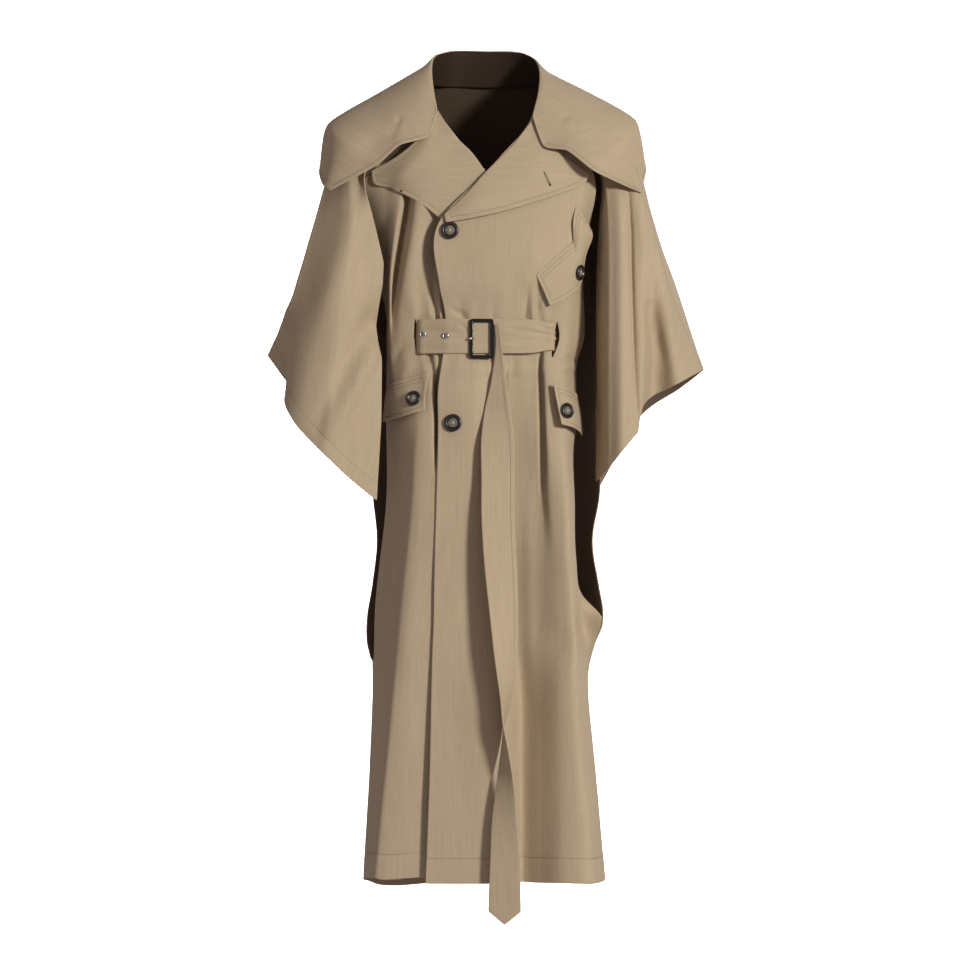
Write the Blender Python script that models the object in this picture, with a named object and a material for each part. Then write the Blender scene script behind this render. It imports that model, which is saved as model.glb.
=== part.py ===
"""A belted cape trench coat, filled out as it is when worn and sewn from flat panels.

Metres, +Z up, the front faces -Y and the wearer's left side is +X. The origin lies on the
neck's axis at the level of the shoulders, and a drop is a distance below it.
Each cloth panel is a thin wall laid through a net of points. A row of the net is one level of
the coat, and a column is one station across the panel: an edge, a ridge or a valley of a fold.
"""

from collections import namedtuple
import math

import bpy
import numpy as np

# Cloth walls and the play between pieces
WALL = 0.0018
LINING_WALL = 0.0010
FLAP_WALL = 0.0020
BELT_WALL = 0.0022
SEAM_PLAY = 0.0006
BLADE_PLAY = 0.0022
SIDE_PLAY = 0.0005
LINING_PLAY = 0.0005
STAND_PLAY = 0.0022

# Steps of the nets: rows in each span between two levels, columns in each span between stations
BODY_ROWS = 2
CAPE_ROWS = 3
FRONT_LEFT_COLUMNS = 4
FRONT_RIGHT_COLUMNS = 3
BACK_COLUMNS = 3
CAPE_COLUMNS = 2
COLLAR_ROWS = 2
COLLAR_COLUMNS = 4
LAPEL_STEPS = 3
SECTION_SAMPLES = 240
NORMAL_REACH = 0.004

# How round a panel turns at its stations: 1 flows through them, 0 folds sharply
BODY_SLACK = 0.75
BACK_SLACK = 1.0
CAPE_SLACK = 0.85

# The front that laps over, on the wearer's left. Each row is a level: its drop, then (x, y) at
# the front edge or roll line, the flat middle, the pleat's valley, the round fold, and the side.
FRONT_LEFT = (
    (0.020, (0.077, -0.057), (0.079, -0.057), (0.082, -0.0565), (0.085, -0.056), (0.088, -0.055)),
    (0.060, (0.058, -0.092), (0.072, -0.091), (0.086, -0.088), (0.102, -0.084), (0.118, -0.077)),
    (0.100, (0.024, -0.113), (0.055, -0.111), (0.086, -0.107), (0.116, -0.100), (0.146, -0.087)),
    (0.135, (-0.008, -0.123), (0.040, -0.122), (0.088, -0.117), (0.130, -0.106), (0.167, -0.082)),
    (0.200, (-0.068, -0.130), (0.010, -0.131), (0.075, -0.125), (0.125, -0.106), (0.156, -0.060)),
    (0.290, (-0.068, -0.130), (0.008, -0.131), (0.070, -0.124), (0.115, -0.106), (0.143, -0.052)),
    (0.338, (-0.059, -0.119), (0.008, -0.120), (0.066, -0.112), (0.112, -0.098), (0.143, -0.044)),
    (0.368, (-0.059, -0.117), (0.010, -0.118), (0.072, -0.106), (0.112, -0.094), (0.142, -0.040)),
    (0.398, (-0.063, -0.119), (0.012, -0.120), (0.077, -0.103), (0.109, -0.100), (0.136, -0.039)),
    (0.450, (-0.070, -0.127), (0.014, -0.129), (0.080, -0.102), (0.106, -0.107), (0.134, -0.038)),
    (0.533, (-0.072, -0.130), (0.016, -0.134), (0.082, -0.104), (0.107, -0.109), (0.133, -0.037)),
    (0.606, (-0.074, -0.132), (0.018, -0.137), (0.084, -0.106), (0.110, -0.109), (0.133, -0.036)),
    (0.694, (-0.076, -0.135), (0.022, -0.139), (0.084, -0.109), (0.112, -0.109), (0.136, -0.030)),
    (0.775, (-0.079, -0.138), (0.024, -0.141), (0.082, -0.112), (0.121, -0.108), (0.173, -0.0060)),
    (0.795, (-0.080, -0.138), (0.024, -0.141), (0.082, -0.113), (0.122, -0.107), (0.171, -0.0005)),
    (0.870, (-0.084, -0.140), (0.022, -0.143), (0.080, -0.115), (0.125, -0.104), (0.152, -0.0005)),
    (1.000, (-0.088, -0.144), (0.020, -0.147), (0.076, -0.119), (0.132, -0.104), (0.162, -0.0005)),
    (1.165, (-0.094, -0.148), (0.020, -0.151), (0.072, -0.125), (0.140, -0.106), (0.177, -0.0005)),
)
FRONT_LEFT_HEM_DROPS = (1.165, 1.166, 1.168, 1.173, 1.182)

# The front that lies under, on the wearer's right: (x, y) at the side, the strip beside it, the
# crease that becomes the skirt's ridge, the lit fold, the flat part and the hidden front edge.
FRONT_RIGHT = (
    (
        0.020,
        (-0.088, -0.055), (-0.086, -0.0555), (-0.084, -0.056),
        (-0.082, -0.056), (-0.080, -0.0565), (-0.077, -0.057),
    ),
    (
        0.060,
        (-0.118, -0.077), (-0.106, -0.081), (-0.096, -0.083),
        (-0.086, -0.085), (-0.072, -0.087), (-0.057, -0.089),
    ),
    (
        0.100,
        (-0.146, -0.087), (-0.126, -0.094), (-0.108, -0.099),
        (-0.090, -0.103), (-0.060, -0.107), (-0.024, -0.108),
    ),
    (
        0.135,
        (-0.167, -0.082), (-0.146, -0.096), (-0.124, -0.100),
        (-0.104, -0.109), (-0.060, -0.114), (0.008, -0.114),
    ),
    (
        0.200,
        (-0.158, -0.062), (-0.144, -0.090), (-0.123, -0.090),
        (-0.106, -0.108), (-0.066, -0.119), (0.034, -0.120),
    ),
    (
        0.290,
        (-0.147, -0.054), (-0.138, -0.086), (-0.128, -0.082),
        (-0.112, -0.104), (-0.066, -0.119), (0.034, -0.120),
    ),
    (
        0.338,
        (-0.147, -0.048), (-0.138, -0.078), (-0.128, -0.078),
        (-0.110, -0.092), (-0.062, -0.109), (0.034, -0.111),
    ),
    (
        0.368,
        (-0.147, -0.044), (-0.137, -0.074), (-0.125, -0.080),
        (-0.108, -0.090), (-0.060, -0.107), (0.034, -0.109),
    ),
    (
        0.398,
        (-0.148, -0.044), (-0.138, -0.074), (-0.124, -0.086),
        (-0.108, -0.094), (-0.063, -0.109), (0.034, -0.111),
    ),
    (
        0.450,
        (-0.148, -0.043), (-0.136, -0.078), (-0.116, -0.100),
        (-0.098, -0.106), (-0.067, -0.115), (0.034, -0.117),
    ),
    (
        0.533,
        (-0.148, -0.042), (-0.130, -0.078), (-0.105, -0.111),
        (-0.092, -0.114), (-0.070, -0.119), (0.034, -0.122),
    ),
    (
        0.606,
        (-0.147, -0.040), (-0.132, -0.078), (-0.110, -0.114),
        (-0.096, -0.117), (-0.072, -0.121), (0.034, -0.125),
    ),
    (
        0.694,
        (-0.161, -0.024), (-0.144, -0.070), (-0.118, -0.117),
        (-0.100, -0.120), (-0.074, -0.124), (0.034, -0.128),
    ),
    (
        0.775,
        (-0.177, -0.0060), (-0.154, -0.063), (-0.126, -0.119),
        (-0.105, -0.123), (-0.077, -0.127), (0.034, -0.130),
    ),
    (
        0.795,
        (-0.180, -0.0005), (-0.155, -0.062), (-0.128, -0.119),
        (-0.107, -0.123), (-0.078, -0.127), (0.034, -0.130),
    ),
    (
        0.870,
        (-0.170, -0.0005), (-0.157, -0.060), (-0.134, -0.120),
        (-0.112, -0.125), (-0.082, -0.129), (0.034, -0.132),
    ),
    (
        1.000,
        (-0.174, -0.0005), (-0.165, -0.060), (-0.147, -0.121),
        (-0.122, -0.128), (-0.087, -0.133), (0.034, -0.136),
    ),
    (
        1.157,
        (-0.183, -0.0005), (-0.176, -0.060), (-0.163, -0.122),
        (-0.134, -0.131), (-0.093, -0.137), (0.034, -0.140),
    ),
)
FRONT_RIGHT_HEM_DROPS = (1.177, 1.170, 1.160, 1.157, 1.156, 1.156)

# The back, from the wearer's left to the right: (x, y) at the left edge, the left fold, the
# centre, the right fold and the right edge.
BACK = (
    (-0.032, (0.062, 0.058), (0.036, 0.067), (0.000, 0.070), (-0.036, 0.067), (-0.062, 0.058)),
    (0.020, (0.098, 0.084), (0.055, 0.097), (0.000, 0.101), (-0.055, 0.097), (-0.098, 0.084)),
    (0.080, (0.130, 0.104), (0.072, 0.120), (0.000, 0.124), (-0.072, 0.120), (-0.130, 0.104)),
    (0.140, (0.150, 0.112), (0.082, 0.132), (0.000, 0.136), (-0.082, 0.132), (-0.150, 0.112)),
    (0.300, (0.160, 0.092), (0.092, 0.139), (0.000, 0.143), (-0.092, 0.139), (-0.160, 0.092)),
    (0.450, (0.166, 0.068), (0.098, 0.142), (0.000, 0.147), (-0.098, 0.142), (-0.166, 0.068)),
    (0.600, (0.172, 0.046), (0.100, 0.145), (0.000, 0.148), (-0.100, 0.145), (-0.169, 0.046)),
    (0.660, (0.164, 0.034), (0.102, 0.147), (0.000, 0.149), (-0.102, 0.147), (-0.164, 0.034)),
    (0.775, (0.173, 0.0060), (0.104, 0.150), (0.000, 0.151), (-0.106, 0.150), (-0.177, 0.0060)),
    (0.795, (0.171, 0.0005), (0.104, 0.150), (0.000, 0.151), (-0.106, 0.150), (-0.180, 0.0005)),
    (0.870, (0.152, 0.0005), (0.106, 0.149), (0.000, 0.152), (-0.108, 0.149), (-0.170, 0.0005)),
    (1.000, (0.162, 0.0005), (0.112, 0.154), (0.000, 0.154), (-0.114, 0.154), (-0.174, 0.0005)),
    (1.195, (0.177, 0.0005), (0.122, 0.164), (0.000, 0.157), (-0.126, 0.164), (-0.183, 0.0005)),
)
BACK_HEM_DROPS = (1.182, 1.194, 1.196, 1.206, 1.177)
LINING_LAST_LEVEL = 10
SIDE_SEAM_SPANS = 3

# The cape's wings. Each row is a level from the neck to the hem: (x, y, z) at each station.
# Above the shoulder both borders of a wing follow its raglan seams. Below it the front border
# hangs free, and the other stays sewn to the back.
RAGLAN_DROPS = (0.020, 0.060, 0.100, 0.135)
BLADE_DROPS = (-0.032, 0.020, 0.080, 0.140, 0.240, 0.360, 0.590)

# The wearer's left wing, front to back: the pipe's top, the crease beside it, the swell, the
# valley, the outer roll, the overarm ridge, the roll behind it and the shoulder blade.
LEFT_WING = (
    (
        (0.089, -0.045, -0.008), (0.0895, -0.035, 0.002), (0.089, -0.026, 0.010), (0.088, -0.017, 0.016),
        (0.087, -0.008, 0.020), (0.085, 0.000, 0.022), (0.082, 0.020, 0.028), (0.074, 0.040, 0.032),
    ),
    (
        (0.122, -0.063, -0.044), (0.125, -0.050, -0.030), (0.127, -0.037, -0.018),
        (0.128, -0.024, -0.007), (0.128, -0.012, 0.003), (0.127, 0.000, 0.009),
        (0.125, 0.028, 0.006), (0.114, 0.058, -0.006),
    ),
    (
        (0.157, -0.077, -0.084), (0.164, -0.064, -0.066), (0.169, -0.049, -0.050),
        (0.172, -0.033, -0.036), (0.173, -0.016, -0.023), (0.172, 0.000, -0.013),
        (0.170, 0.036, -0.022), (0.154, 0.076, -0.048),
    ),
    (
        (0.185, -0.082, -0.127), (0.198, -0.068, -0.107), (0.205, -0.052, -0.089),
        (0.209, -0.035, -0.072), (0.211, -0.018, -0.058), (0.209, 0.001, -0.046),
        (0.208, 0.042, -0.064), (0.188, 0.088, -0.098),
    ),
    (
        (0.196, -0.112, -0.202), (0.212, -0.092, -0.200), (0.225, -0.073, -0.198),
        (0.238, -0.050, -0.196), (0.246, -0.027, -0.194), (0.249, 0.001, -0.192),
        (0.246, 0.052, -0.206), (0.214, 0.098, -0.226),
    ),
    (
        (0.198, -0.129, -0.302), (0.214, -0.100, -0.300), (0.229, -0.088, -0.297),
        (0.249, -0.053, -0.294), (0.271, -0.043, -0.291), (0.285, 0.003, -0.289),
        (0.276, 0.058, -0.306), (0.228, 0.098, -0.338),
    ),
    (
        (0.198, -0.142, -0.535), (0.226, -0.102, -0.487), (0.238, -0.089, -0.456),
        (0.262, -0.045, -0.446), (0.291, -0.055, -0.431), (0.326, 0.006, -0.411),
        (0.293, 0.048, -0.438), (0.236, 0.076, -0.478),
    ),
)
LEFT_WING_EDGE = ((0.178, -0.092, -0.205), (0.176, -0.103, -0.305), (0.164, -0.104, -0.592))
LEFT_RIDGE = 6

# The wearer's right wing, back to front: the shoulder blade, the roll, the overarm ridge, the
# flank, the bulge, the bright ridge, the plateau and the dip beside the free edge.
RIGHT_WING = (
    (
        (-0.074, 0.040, 0.032), (-0.082, 0.020, 0.028), (-0.085, 0.000, 0.022),
        (-0.087, -0.008, 0.020), (-0.088, -0.017, 0.016), (-0.089, -0.026, 0.010),
        (-0.0895, -0.035, 0.002), (-0.089, -0.045, -0.008),
    ),
    (
        (-0.114, 0.058, -0.006), (-0.125, 0.028, 0.006), (-0.127, 0.000, 0.009),
        (-0.128, -0.012, 0.003), (-0.128, -0.024, -0.007), (-0.127, -0.037, -0.018),
        (-0.125, -0.050, -0.030), (-0.122, -0.063, -0.044),
    ),
    (
        (-0.155, 0.076, -0.048), (-0.171, 0.036, -0.022), (-0.174, 0.000, -0.013),
        (-0.175, -0.016, -0.023), (-0.174, -0.033, -0.036), (-0.171, -0.049, -0.050),
        (-0.166, -0.064, -0.066), (-0.158, -0.077, -0.084),
    ),
    (
        (-0.190, 0.088, -0.098), (-0.211, 0.042, -0.064), (-0.214, 0.001, -0.046),
        (-0.216, -0.020, -0.060), (-0.214, -0.039, -0.075), (-0.209, -0.057, -0.092),
        (-0.200, -0.072, -0.109), (-0.186, -0.082, -0.126),
    ),
    (
        (-0.220, 0.098, -0.228), (-0.256, 0.052, -0.212), (-0.262, 0.000, -0.200),
        (-0.250, -0.030, -0.200), (-0.238, -0.064, -0.202), (-0.214, -0.106, -0.204),
        (-0.198, -0.112, -0.206), (-0.183, -0.104, -0.207),
    ),
    (
        (-0.234, 0.098, -0.344), (-0.284, 0.058, -0.312), (-0.294, 0.001, -0.298),
        (-0.281, -0.040, -0.299), (-0.262, -0.082, -0.300), (-0.231, -0.133, -0.302),
        (-0.210, -0.138, -0.304), (-0.182, -0.124, -0.306),
    ),
    (
        (-0.240, 0.078, -0.490), (-0.296, 0.050, -0.434), (-0.327, 0.004, -0.390),
        (-0.292, -0.036, -0.434), (-0.299, -0.088, -0.462), (-0.274, -0.128, -0.500),
        (-0.235, -0.139, -0.540), (-0.196, -0.126, -0.577),
    ),
)
RIGHT_WING_EDGE = ((-0.164, -0.094, -0.208), (-0.156, -0.107, -0.308), (-0.161, -0.112, -0.606))
RIGHT_RIDGE = 3

# The collar, from the wearer's left front end round the back to the right front end. Each row is
# one place round the neck: (x, y, z) on the neck seam, the fold line, the fall, the bend and the edge.
COLLAR = (
    (
        (0.074, -0.078, -0.036), (0.069, -0.088, -0.041), (0.089, -0.113, -0.085),
        (0.160, -0.119, -0.126), (0.226, -0.078, -0.153),
    ),
    (
        (0.081, -0.056, -0.016), (0.078, -0.059, -0.002), (0.096, -0.072, -0.022),
        (0.197, -0.076, -0.080), (0.231, -0.048, -0.144),
    ),
    (
        (0.084, -0.002, 0.024), (0.079, -0.006, 0.043), (0.097, -0.008, 0.030),
        (0.222, -0.002, -0.036), (0.235, 0.006, -0.104),
    ),
    (
        (0.062, 0.055, 0.034), (0.059, 0.042, 0.066), (0.074, 0.057, 0.058),
        (0.172, 0.096, -0.034), (0.200, 0.122, -0.104),
    ),
    (
        (0.000, 0.069, 0.034), (0.000, 0.062, 0.073), (0.000, 0.080, 0.065),
        (0.000, 0.142, -0.032), (0.000, 0.162, -0.108),
    ),
    (
        (-0.062, 0.055, 0.034), (-0.059, 0.042, 0.067), (-0.074, 0.057, 0.060),
        (-0.178, 0.096, -0.034), (-0.208, 0.122, -0.104),
    ),
    (
        (-0.084, -0.002, 0.024), (-0.079, -0.006, 0.049), (-0.098, -0.008, 0.037),
        (-0.236, -0.002, -0.042), (-0.250, 0.006, -0.110),
    ),
    (
        (-0.081, -0.056, -0.016), (-0.078, -0.057, 0.000), (-0.096, -0.072, -0.014),
        (-0.209, -0.076, -0.080), (-0.244, -0.046, -0.143),
    ),
    (
        (-0.076, -0.072, -0.028), (-0.073, -0.079, -0.029), (-0.088, -0.105, -0.071),
        (-0.160, -0.117, -0.119), (-0.231, -0.078, -0.153),
    ),
)

# Lapels on the fronts, from the break to the gorge: (x, drop) at the roll line, the middle and the edge
LEFT_LAPEL = (
    ((-0.060, 0.190), (-0.059, 0.195), (-0.058, 0.200)),
    ((-0.030, 0.162), (-0.024, 0.177), (-0.016, 0.193)),
    ((0.002, 0.126), (0.014, 0.154), (0.028, 0.183)),
    ((0.036, 0.091), (0.060, 0.127), (0.089, 0.164)),
    ((0.069, 0.047), (0.089, 0.091), (0.149, 0.137)),
)
RIGHT_LAPEL = (
    ((0.004, 0.136), (-0.028, 0.170), (-0.058, 0.201)),
    ((-0.020, 0.101), (-0.060, 0.136), (-0.096, 0.171)),
    ((-0.046, 0.072), (-0.096, 0.108), (-0.142, 0.146)),
    ((-0.071, 0.035), (-0.087, 0.075), (-0.151, 0.120)),
)
LAPEL_LIFT = (0.0030, 0.0070, 0.0056)

# Flaps: (x, drop) from the sewn edge to the free edge, row by row across the flap
CHEST_FLAP = (
    ((0.074, 0.276), (0.084, 0.299), (0.094, 0.321)),
    ((0.101, 0.252), (0.108, 0.282), (0.116, 0.310)),
    ((0.127, 0.230), (0.132, 0.260), (0.137, 0.290)),
    ((0.133, 0.184), (0.142, 0.206), (0.150, 0.228)),
)
LEFT_POCKET_FLAP = (
    ((0.098, 0.437), (0.102, 0.466), (0.107, 0.496)),
    ((0.116, 0.443), (0.119, 0.472), (0.122, 0.502)),
    ((0.130, 0.450), (0.132, 0.480), (0.133, 0.510)),
)
RIGHT_POCKET_FLAP = (
    ((-0.142, 0.435), (-0.142, 0.462), (-0.142, 0.490)),
    ((-0.114, 0.428), (-0.114, 0.456), (-0.115, 0.484)),
    ((-0.085, 0.420), (-0.086, 0.448), (-0.088, 0.476)),
)
CHEST_FLAP_LIFT = (0.0026, 0.0062, 0.0080)
POCKET_FLAP_LIFT = (0.0036, 0.0066, 0.0080)
CHEST_BUTTON_LIFT = 0.0080
POCKET_BUTTON_LIFT = 0.0073
FLAP_STEPS = 3

# The belt, its slits in the fronts and its hidden way round the back
BELT_DROP = 0.3685
BELT_WIDTH = 0.051
BELT_LIFT = 0.0038
BELT_ROWS = 2
BELT_SECTIONS = 7
BELT_STEPS = 9
RIGHT_SLIT_X = (-0.1080, -0.0960)
LEFT_SLIT_X = (0.0940, 0.1040)
SLIT_DIP = 0.014
SLIT_CLEAR = 0.0015
SLIT_LEVELS = (0.330, 0.404)
BELT_BACK_PATH = ((0.122, -0.046), (0.134, 0.000), (0.128, 0.060), (0.090, 0.108), (0.000, 0.124))
BELT_BACK_STEPS = 3

# The belt's hanging end: drop and x of its middle, how far its inner edge stands in front of the
# belt, and its turn about the vertical in degrees
BELT_TAIL = (
    (0.352, 0.0190, 0.0006, 78.0),
    (0.400, 0.0200, 0.0040, 74.0),
    (0.440, 0.0200, 0.0110, 66.0),
    (0.474, 0.0170, 0.0170, 52.0),
    (0.518, 0.0156, 0.0220, 30.0),
    (0.629, 0.0170, 0.0300, 22.0),
    (0.701, 0.0206, 0.0330, 20.0),
    (0.837, 0.0290, 0.0300, 48.0),
    (0.929, 0.0336, 0.0300, 64.0),
    (1.010, 0.0285, 0.0340, 54.0),
    (1.074, 0.0263, 0.0390, 35.0),
    (1.140, 0.0270, 0.0420, 27.0),
    (1.197, 0.0263, 0.0430, 24.0),
)
TAIL_WIDTH = 0.050
TAIL_POINT = 0.022
TAIL_STATIONS = (-0.5, 0.0, 0.5)
TAIL_TIP_SHARES = (0.15, 1.0, 0.15)
TAIL_ROWS = 2

# Buckle: a rounded frame of flat bar (half its depth, half its width) and the round prong across it
BUCKLE_X = -0.0068
BUCKLE_WIDTH = 0.0358
BUCKLE_HEIGHT = 0.0585
BUCKLE_CORNER = 0.006
BUCKLE_BAR = (0.0020, 0.0035)
BUCKLE_LIFT = 0.0036
ROD_SIDES = 8
CORNER_STEPS = 3
PRONG_ROD = (0.0014, 0.0014)
PRONG_LIFT = 0.0041
PRONG_OVER = 0.0022
PRONG_SAGS = (0.0, 0.0, 0.0008, 0.0004, 0.0)

# Eyelets on the belt
EYELET_X = (-0.093, -0.0585)
EYELET_OUTER = 0.0052
EYELET_HOLE = 0.0024
EYELET_THICK = 0.0012
EYELET_PLAY = 0.0004

# Buttons: radius and height of each point of the profile, as shares of the button's radius
BUTTON_RADIUS = 0.0129
FLAP_BUTTON_RADIUS = 0.0115
BUTTON_PROFILE = (
    (0.00, 0.20),
    (0.42, 0.20),
    (0.60, 0.28),
    (0.74, 0.42),
    (0.86, 0.44),
    (0.97, 0.36),
    (1.00, 0.24),
    (0.90, 0.12),
    (0.35, 0.10),
    (0.30, 0.00),
    (0.00, 0.00),
)
BUTTON_SIDES = 20
BUTTON_PLAY = 0.0004
FRONT_BUTTONS = ((-0.0530, 0.2125), (-0.0480, 0.4935))
CHEST_BUTTON = (0.1355, 0.2715)
LEFT_POCKET_BUTTON = (0.1165, 0.4760)
RIGHT_POCKET_BUTTON = (-0.1055, 0.4585)

# Finishes: colour, metallic and roughness of each kind of material
FINISHES = {
    "cloth": ((0.40, 0.31, 0.21, 1.0), 0.0, 0.85),
    "lining": ((0.035, 0.022, 0.014, 1.0), 0.0, 0.60),
    "horn": ((0.020, 0.016, 0.013, 1.0), 0.0, 0.25),
    "metal": ((0.10, 0.10, 0.11, 1.0), 1.0, 0.30),
}

Panel = namedtuple("Panel", "net drops slack")


def clear_scene():
    for thing in list(bpy.data.objects):
        bpy.data.objects.remove(thing, do_unlink=True)


def smooth(knots, values, places, slack=1.0):
    """Values at places on a smooth curve that passes through values at knots."""
    knots = np.asarray(knots, float)
    values = np.asarray(values, float)
    places = np.asarray(places, float)
    slopes = np.gradient(values, knots, axis=0) * slack
    span = np.clip(np.searchsorted(knots, places, side="right") - 1, 0, len(knots) - 2)
    across = (-1,) + (1,) * (values.ndim - 1)
    width = (knots[span + 1] - knots[span]).reshape(across)
    t = (places - knots[span]).reshape(across) / width
    near = (1 + 2 * t) * (1 - t) ** 2 * values[span] + t * (1 - t) ** 2 * width * slopes[span]
    far = t**2 * (3 - 2 * t) * values[span + 1] + t**2 * (t - 1) * width * slopes[span + 1]
    return near + far


def spread(knots, steps):
    """The knots with each span between two of them cut into equal steps."""
    spans = [np.linspace(a, b, steps, endpoint=False) for a, b in zip(knots, knots[1:])]
    return np.concatenate(spans + [[knots[-1]]])


def body_panel(table, hem_drops, slack):
    """A panel through level rows of (x, y), with the hem's own drop at each station."""
    drops = [row[0] for row in table]
    net = np.array([[(x, y, -row[0]) for x, y in row[1:]] for row in table])
    net[-1, :, 2] = -np.array(hem_drops)
    return Panel(net, drops, slack)


def laid(net, knots, steps_down, steps_across, slack):
    """A grid of points on the surface through the net."""
    down = smooth(knots, net, spread(knots, steps_down))
    stations = np.arange(net.shape[1])
    across = smooth(stations, down.swapaxes(0, 1), spread(stations, steps_across), slack)
    return across.swapaxes(0, 1)


def section(panel, drop):
    """Many points across a panel at one drop."""
    stations = smooth(panel.drops, panel.net, [drop])[0]
    places = np.linspace(0, len(stations) - 1, SECTION_SAMPLES)
    return smooth(np.arange(len(stations)), stations, places, panel.slack)


def point_on(panel, x, drop):
    line = section(panel, drop)
    return np.array((x, np.interp(x, line[:, 0], line[:, 1]), -drop))


def normal_on(panel, x, drop):
    """The direction straight out of a front panel at a place on it."""
    across = point_on(panel, x + NORMAL_REACH, drop) - point_on(panel, x - NORMAL_REACH, drop)
    down = point_on(panel, x, drop + NORMAL_REACH) - point_on(panel, x, drop - NORMAL_REACH)
    out = np.cross(down, across)
    return out / np.linalg.norm(out)


def normals(points):
    """The direction out of a grid at each of its points."""
    out = np.cross(np.gradient(points, axis=0), np.gradient(points, axis=1))
    return out / np.linalg.norm(out, axis=2, keepdims=True)


def moved(points, distance):
    return points + normals(points) * distance


def material_of(name, colour, metallic, roughness):
    material = bpy.data.materials.new(name)
    material.use_nodes = True
    shader = material.node_tree.nodes["Principled BSDF"]
    shader.inputs["Base Color"].default_value = colour
    shader.inputs["Metallic"].default_value = metallic
    shader.inputs["Roughness"].default_value = roughness
    return material


def add_object(name, points, faces, kind):
    mesh = bpy.data.meshes.new(name)
    mesh.from_pydata([tuple(p) for p in points], [], [tuple(f) for f in faces])
    mesh.materials.append(material_of(f"{name}_{kind}", *FINISHES[kind]))
    bpy.context.scene.collection.objects.link(bpy.data.objects.new(name, mesh))


def wall(name, points, thickness, kind="cloth", cut=(), out=None):
    """A closed wall about a grid of points, with the cells named in cut left open."""
    rows, columns = points.shape[:2]
    half = (normals(points) if out is None else out) * thickness / 2
    skin = rows * columns
    both = np.concatenate([(points + half).reshape(-1, 3), (points - half).reshape(-1, 3)])
    faces = []
    edges = set()
    for i in range(rows - 1):
        for j in range(columns - 1):
            if (i, j) in cut:
                continue
            here, below = i * columns + j, (i + 1) * columns + j
            ring = (here, below, below + 1, here + 1)
            for corners in (ring[:3], (ring[0], ring[2], ring[3])):
                faces.append(corners)
                faces.append(tuple(c + skin for c in reversed(corners)))
            edges.update(zip(ring, ring[1:] + ring[:1]))
    for a, b in sorted(edges):
        if (b, a) not in edges:
            faces.append((b, a, a + skin))
            faces.append((b, a + skin, b + skin))
    add_object(name, *without_strays(both, faces), kind)


def without_strays(points, faces):
    """The points that some face uses, and the faces with their new numbers."""
    used = sorted({corner for face in faces for corner in face})
    place = {old: new for new, old in enumerate(used)}
    return points[used], [tuple(place[c] for c in face) for face in faces]


def slit_cells(points, panel, slit):
    """The grid cells of a front panel that lie within a belt slit."""
    drops = spread(panel.drops, BODY_ROWS)
    belt_row = points[int(np.argmin(np.abs(drops - BELT_DROP)))]
    column = int(np.argmin(np.abs((belt_row[:-1, 0] + belt_row[1:, 0]) / 2 - sum(slit) / 2)))
    middle = (drops[:-1] + drops[1:]) / 2
    rows = np.flatnonzero((middle > SLIT_LEVELS[0]) & (middle < SLIT_LEVELS[1]))
    return {(int(row), column) for row in rows}


def sew_side(front, front_column, back, back_column):
    """Brings the edges of a front and the back together along the side seam below the armhole."""
    rows = SIDE_SEAM_SPANS * BODY_ROWS + 1
    seam = (front[-rows:, front_column] + back[-rows:, back_column]) / 2
    for points, column, way in ((front, front_column, -1), (back, back_column, 1)):
        points[-rows:, column] = seam
        points[-rows:, column, 1] = way * SIDE_PLAY


def edge_of(panel, station, drops, play):
    """A panel's edge at the given drops, a seam's play away from the panel."""
    edge = smooth(panel.drops, panel.net[:, station], drops)
    beside = smooth(panel.drops, panel.net[:, 1 if station == 0 else -2], drops)
    out = edge - beside
    return edge + play * out / np.linalg.norm(out, axis=1, keepdims=True)


def wing(side, table, front_border, back_border, ridge):
    """One wing of the cape: a front and a lined back, parted at the overarm ridge."""
    borders = [front_border[:, None], np.array(table), back_border[:, None]]
    net = np.concatenate(borders if side == "left" else borders[::-1], axis=1)
    points = laid(net, np.arange(len(net)), CAPE_ROWS, CAPE_COLUMNS, CAPE_SLACK)
    out = normals(points)
    seam = ridge * CAPE_COLUMNS
    first, second = points[:, : seam + 1].copy(), points[:, seam:].copy()
    along = points[:, seam + 1] - points[:, seam - 1]
    along *= SEAM_PLAY / 2 / np.linalg.norm(along, axis=1, keepdims=True)
    first[:, -1] -= along
    second[:, 0] += along
    halves = [(first, out[:, : seam + 1]), (second, out[:, seam:])]
    front, back = halves if side == "left" else halves[::-1]
    wall(f"cape_{side}_front", front[0], WALL, out=front[1])
    wall(f"cape_{side}_back", back[0], WALL, out=back[1])
    depth = (WALL + LINING_WALL) / 2 + LINING_PLAY
    lined = (back[0] - back[1] * depth)[1:, 1:-1]
    wall(f"cape_{side}_lining", lined, LINING_WALL, "lining", out=back[1][1:, 1:-1])


def on_panel(panel, table, lifts, steps):
    """A grid of points that lies on a front panel, lifted off it more and more towards its edge."""
    net = np.array([[(x, 0.0, drop) for x, drop in row] for row in table])
    places = laid(net, np.arange(len(net)), steps, steps, 1.0)
    lift = smooth(np.arange(len(lifts)), lifts, spread(np.arange(len(lifts)), steps))
    points = np.empty_like(places)
    for i, row in enumerate(places):
        for j, (x, _, drop) in enumerate(row):
            points[i, j] = point_on(panel, x, drop) + lift[j] * normal_on(panel, x, drop)
    return points


def taut_line(left, right):
    """The line a tight belt takes over all that lies under its width, as many (x, y) points."""
    places = []
    for drop in np.linspace(BELT_DROP - BELT_WIDTH / 2, BELT_DROP + BELT_WIDTH / 2, BELT_SECTIONS):
        over = section(left, drop)[:, :2]
        under = section(right, drop)[:, :2]
        places.extend([*under[under[:, 0] < over[0, 0]], *over])
    places = np.array(places)
    hull = []
    for place in places[np.lexsort((places[:, 1], places[:, 0]))]:
        while len(hull) > 1 and turn_between(hull[-2], hull[-1], place) <= 0:
            hull.pop()
        hull.append(place)
    return np.array(hull)


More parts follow.
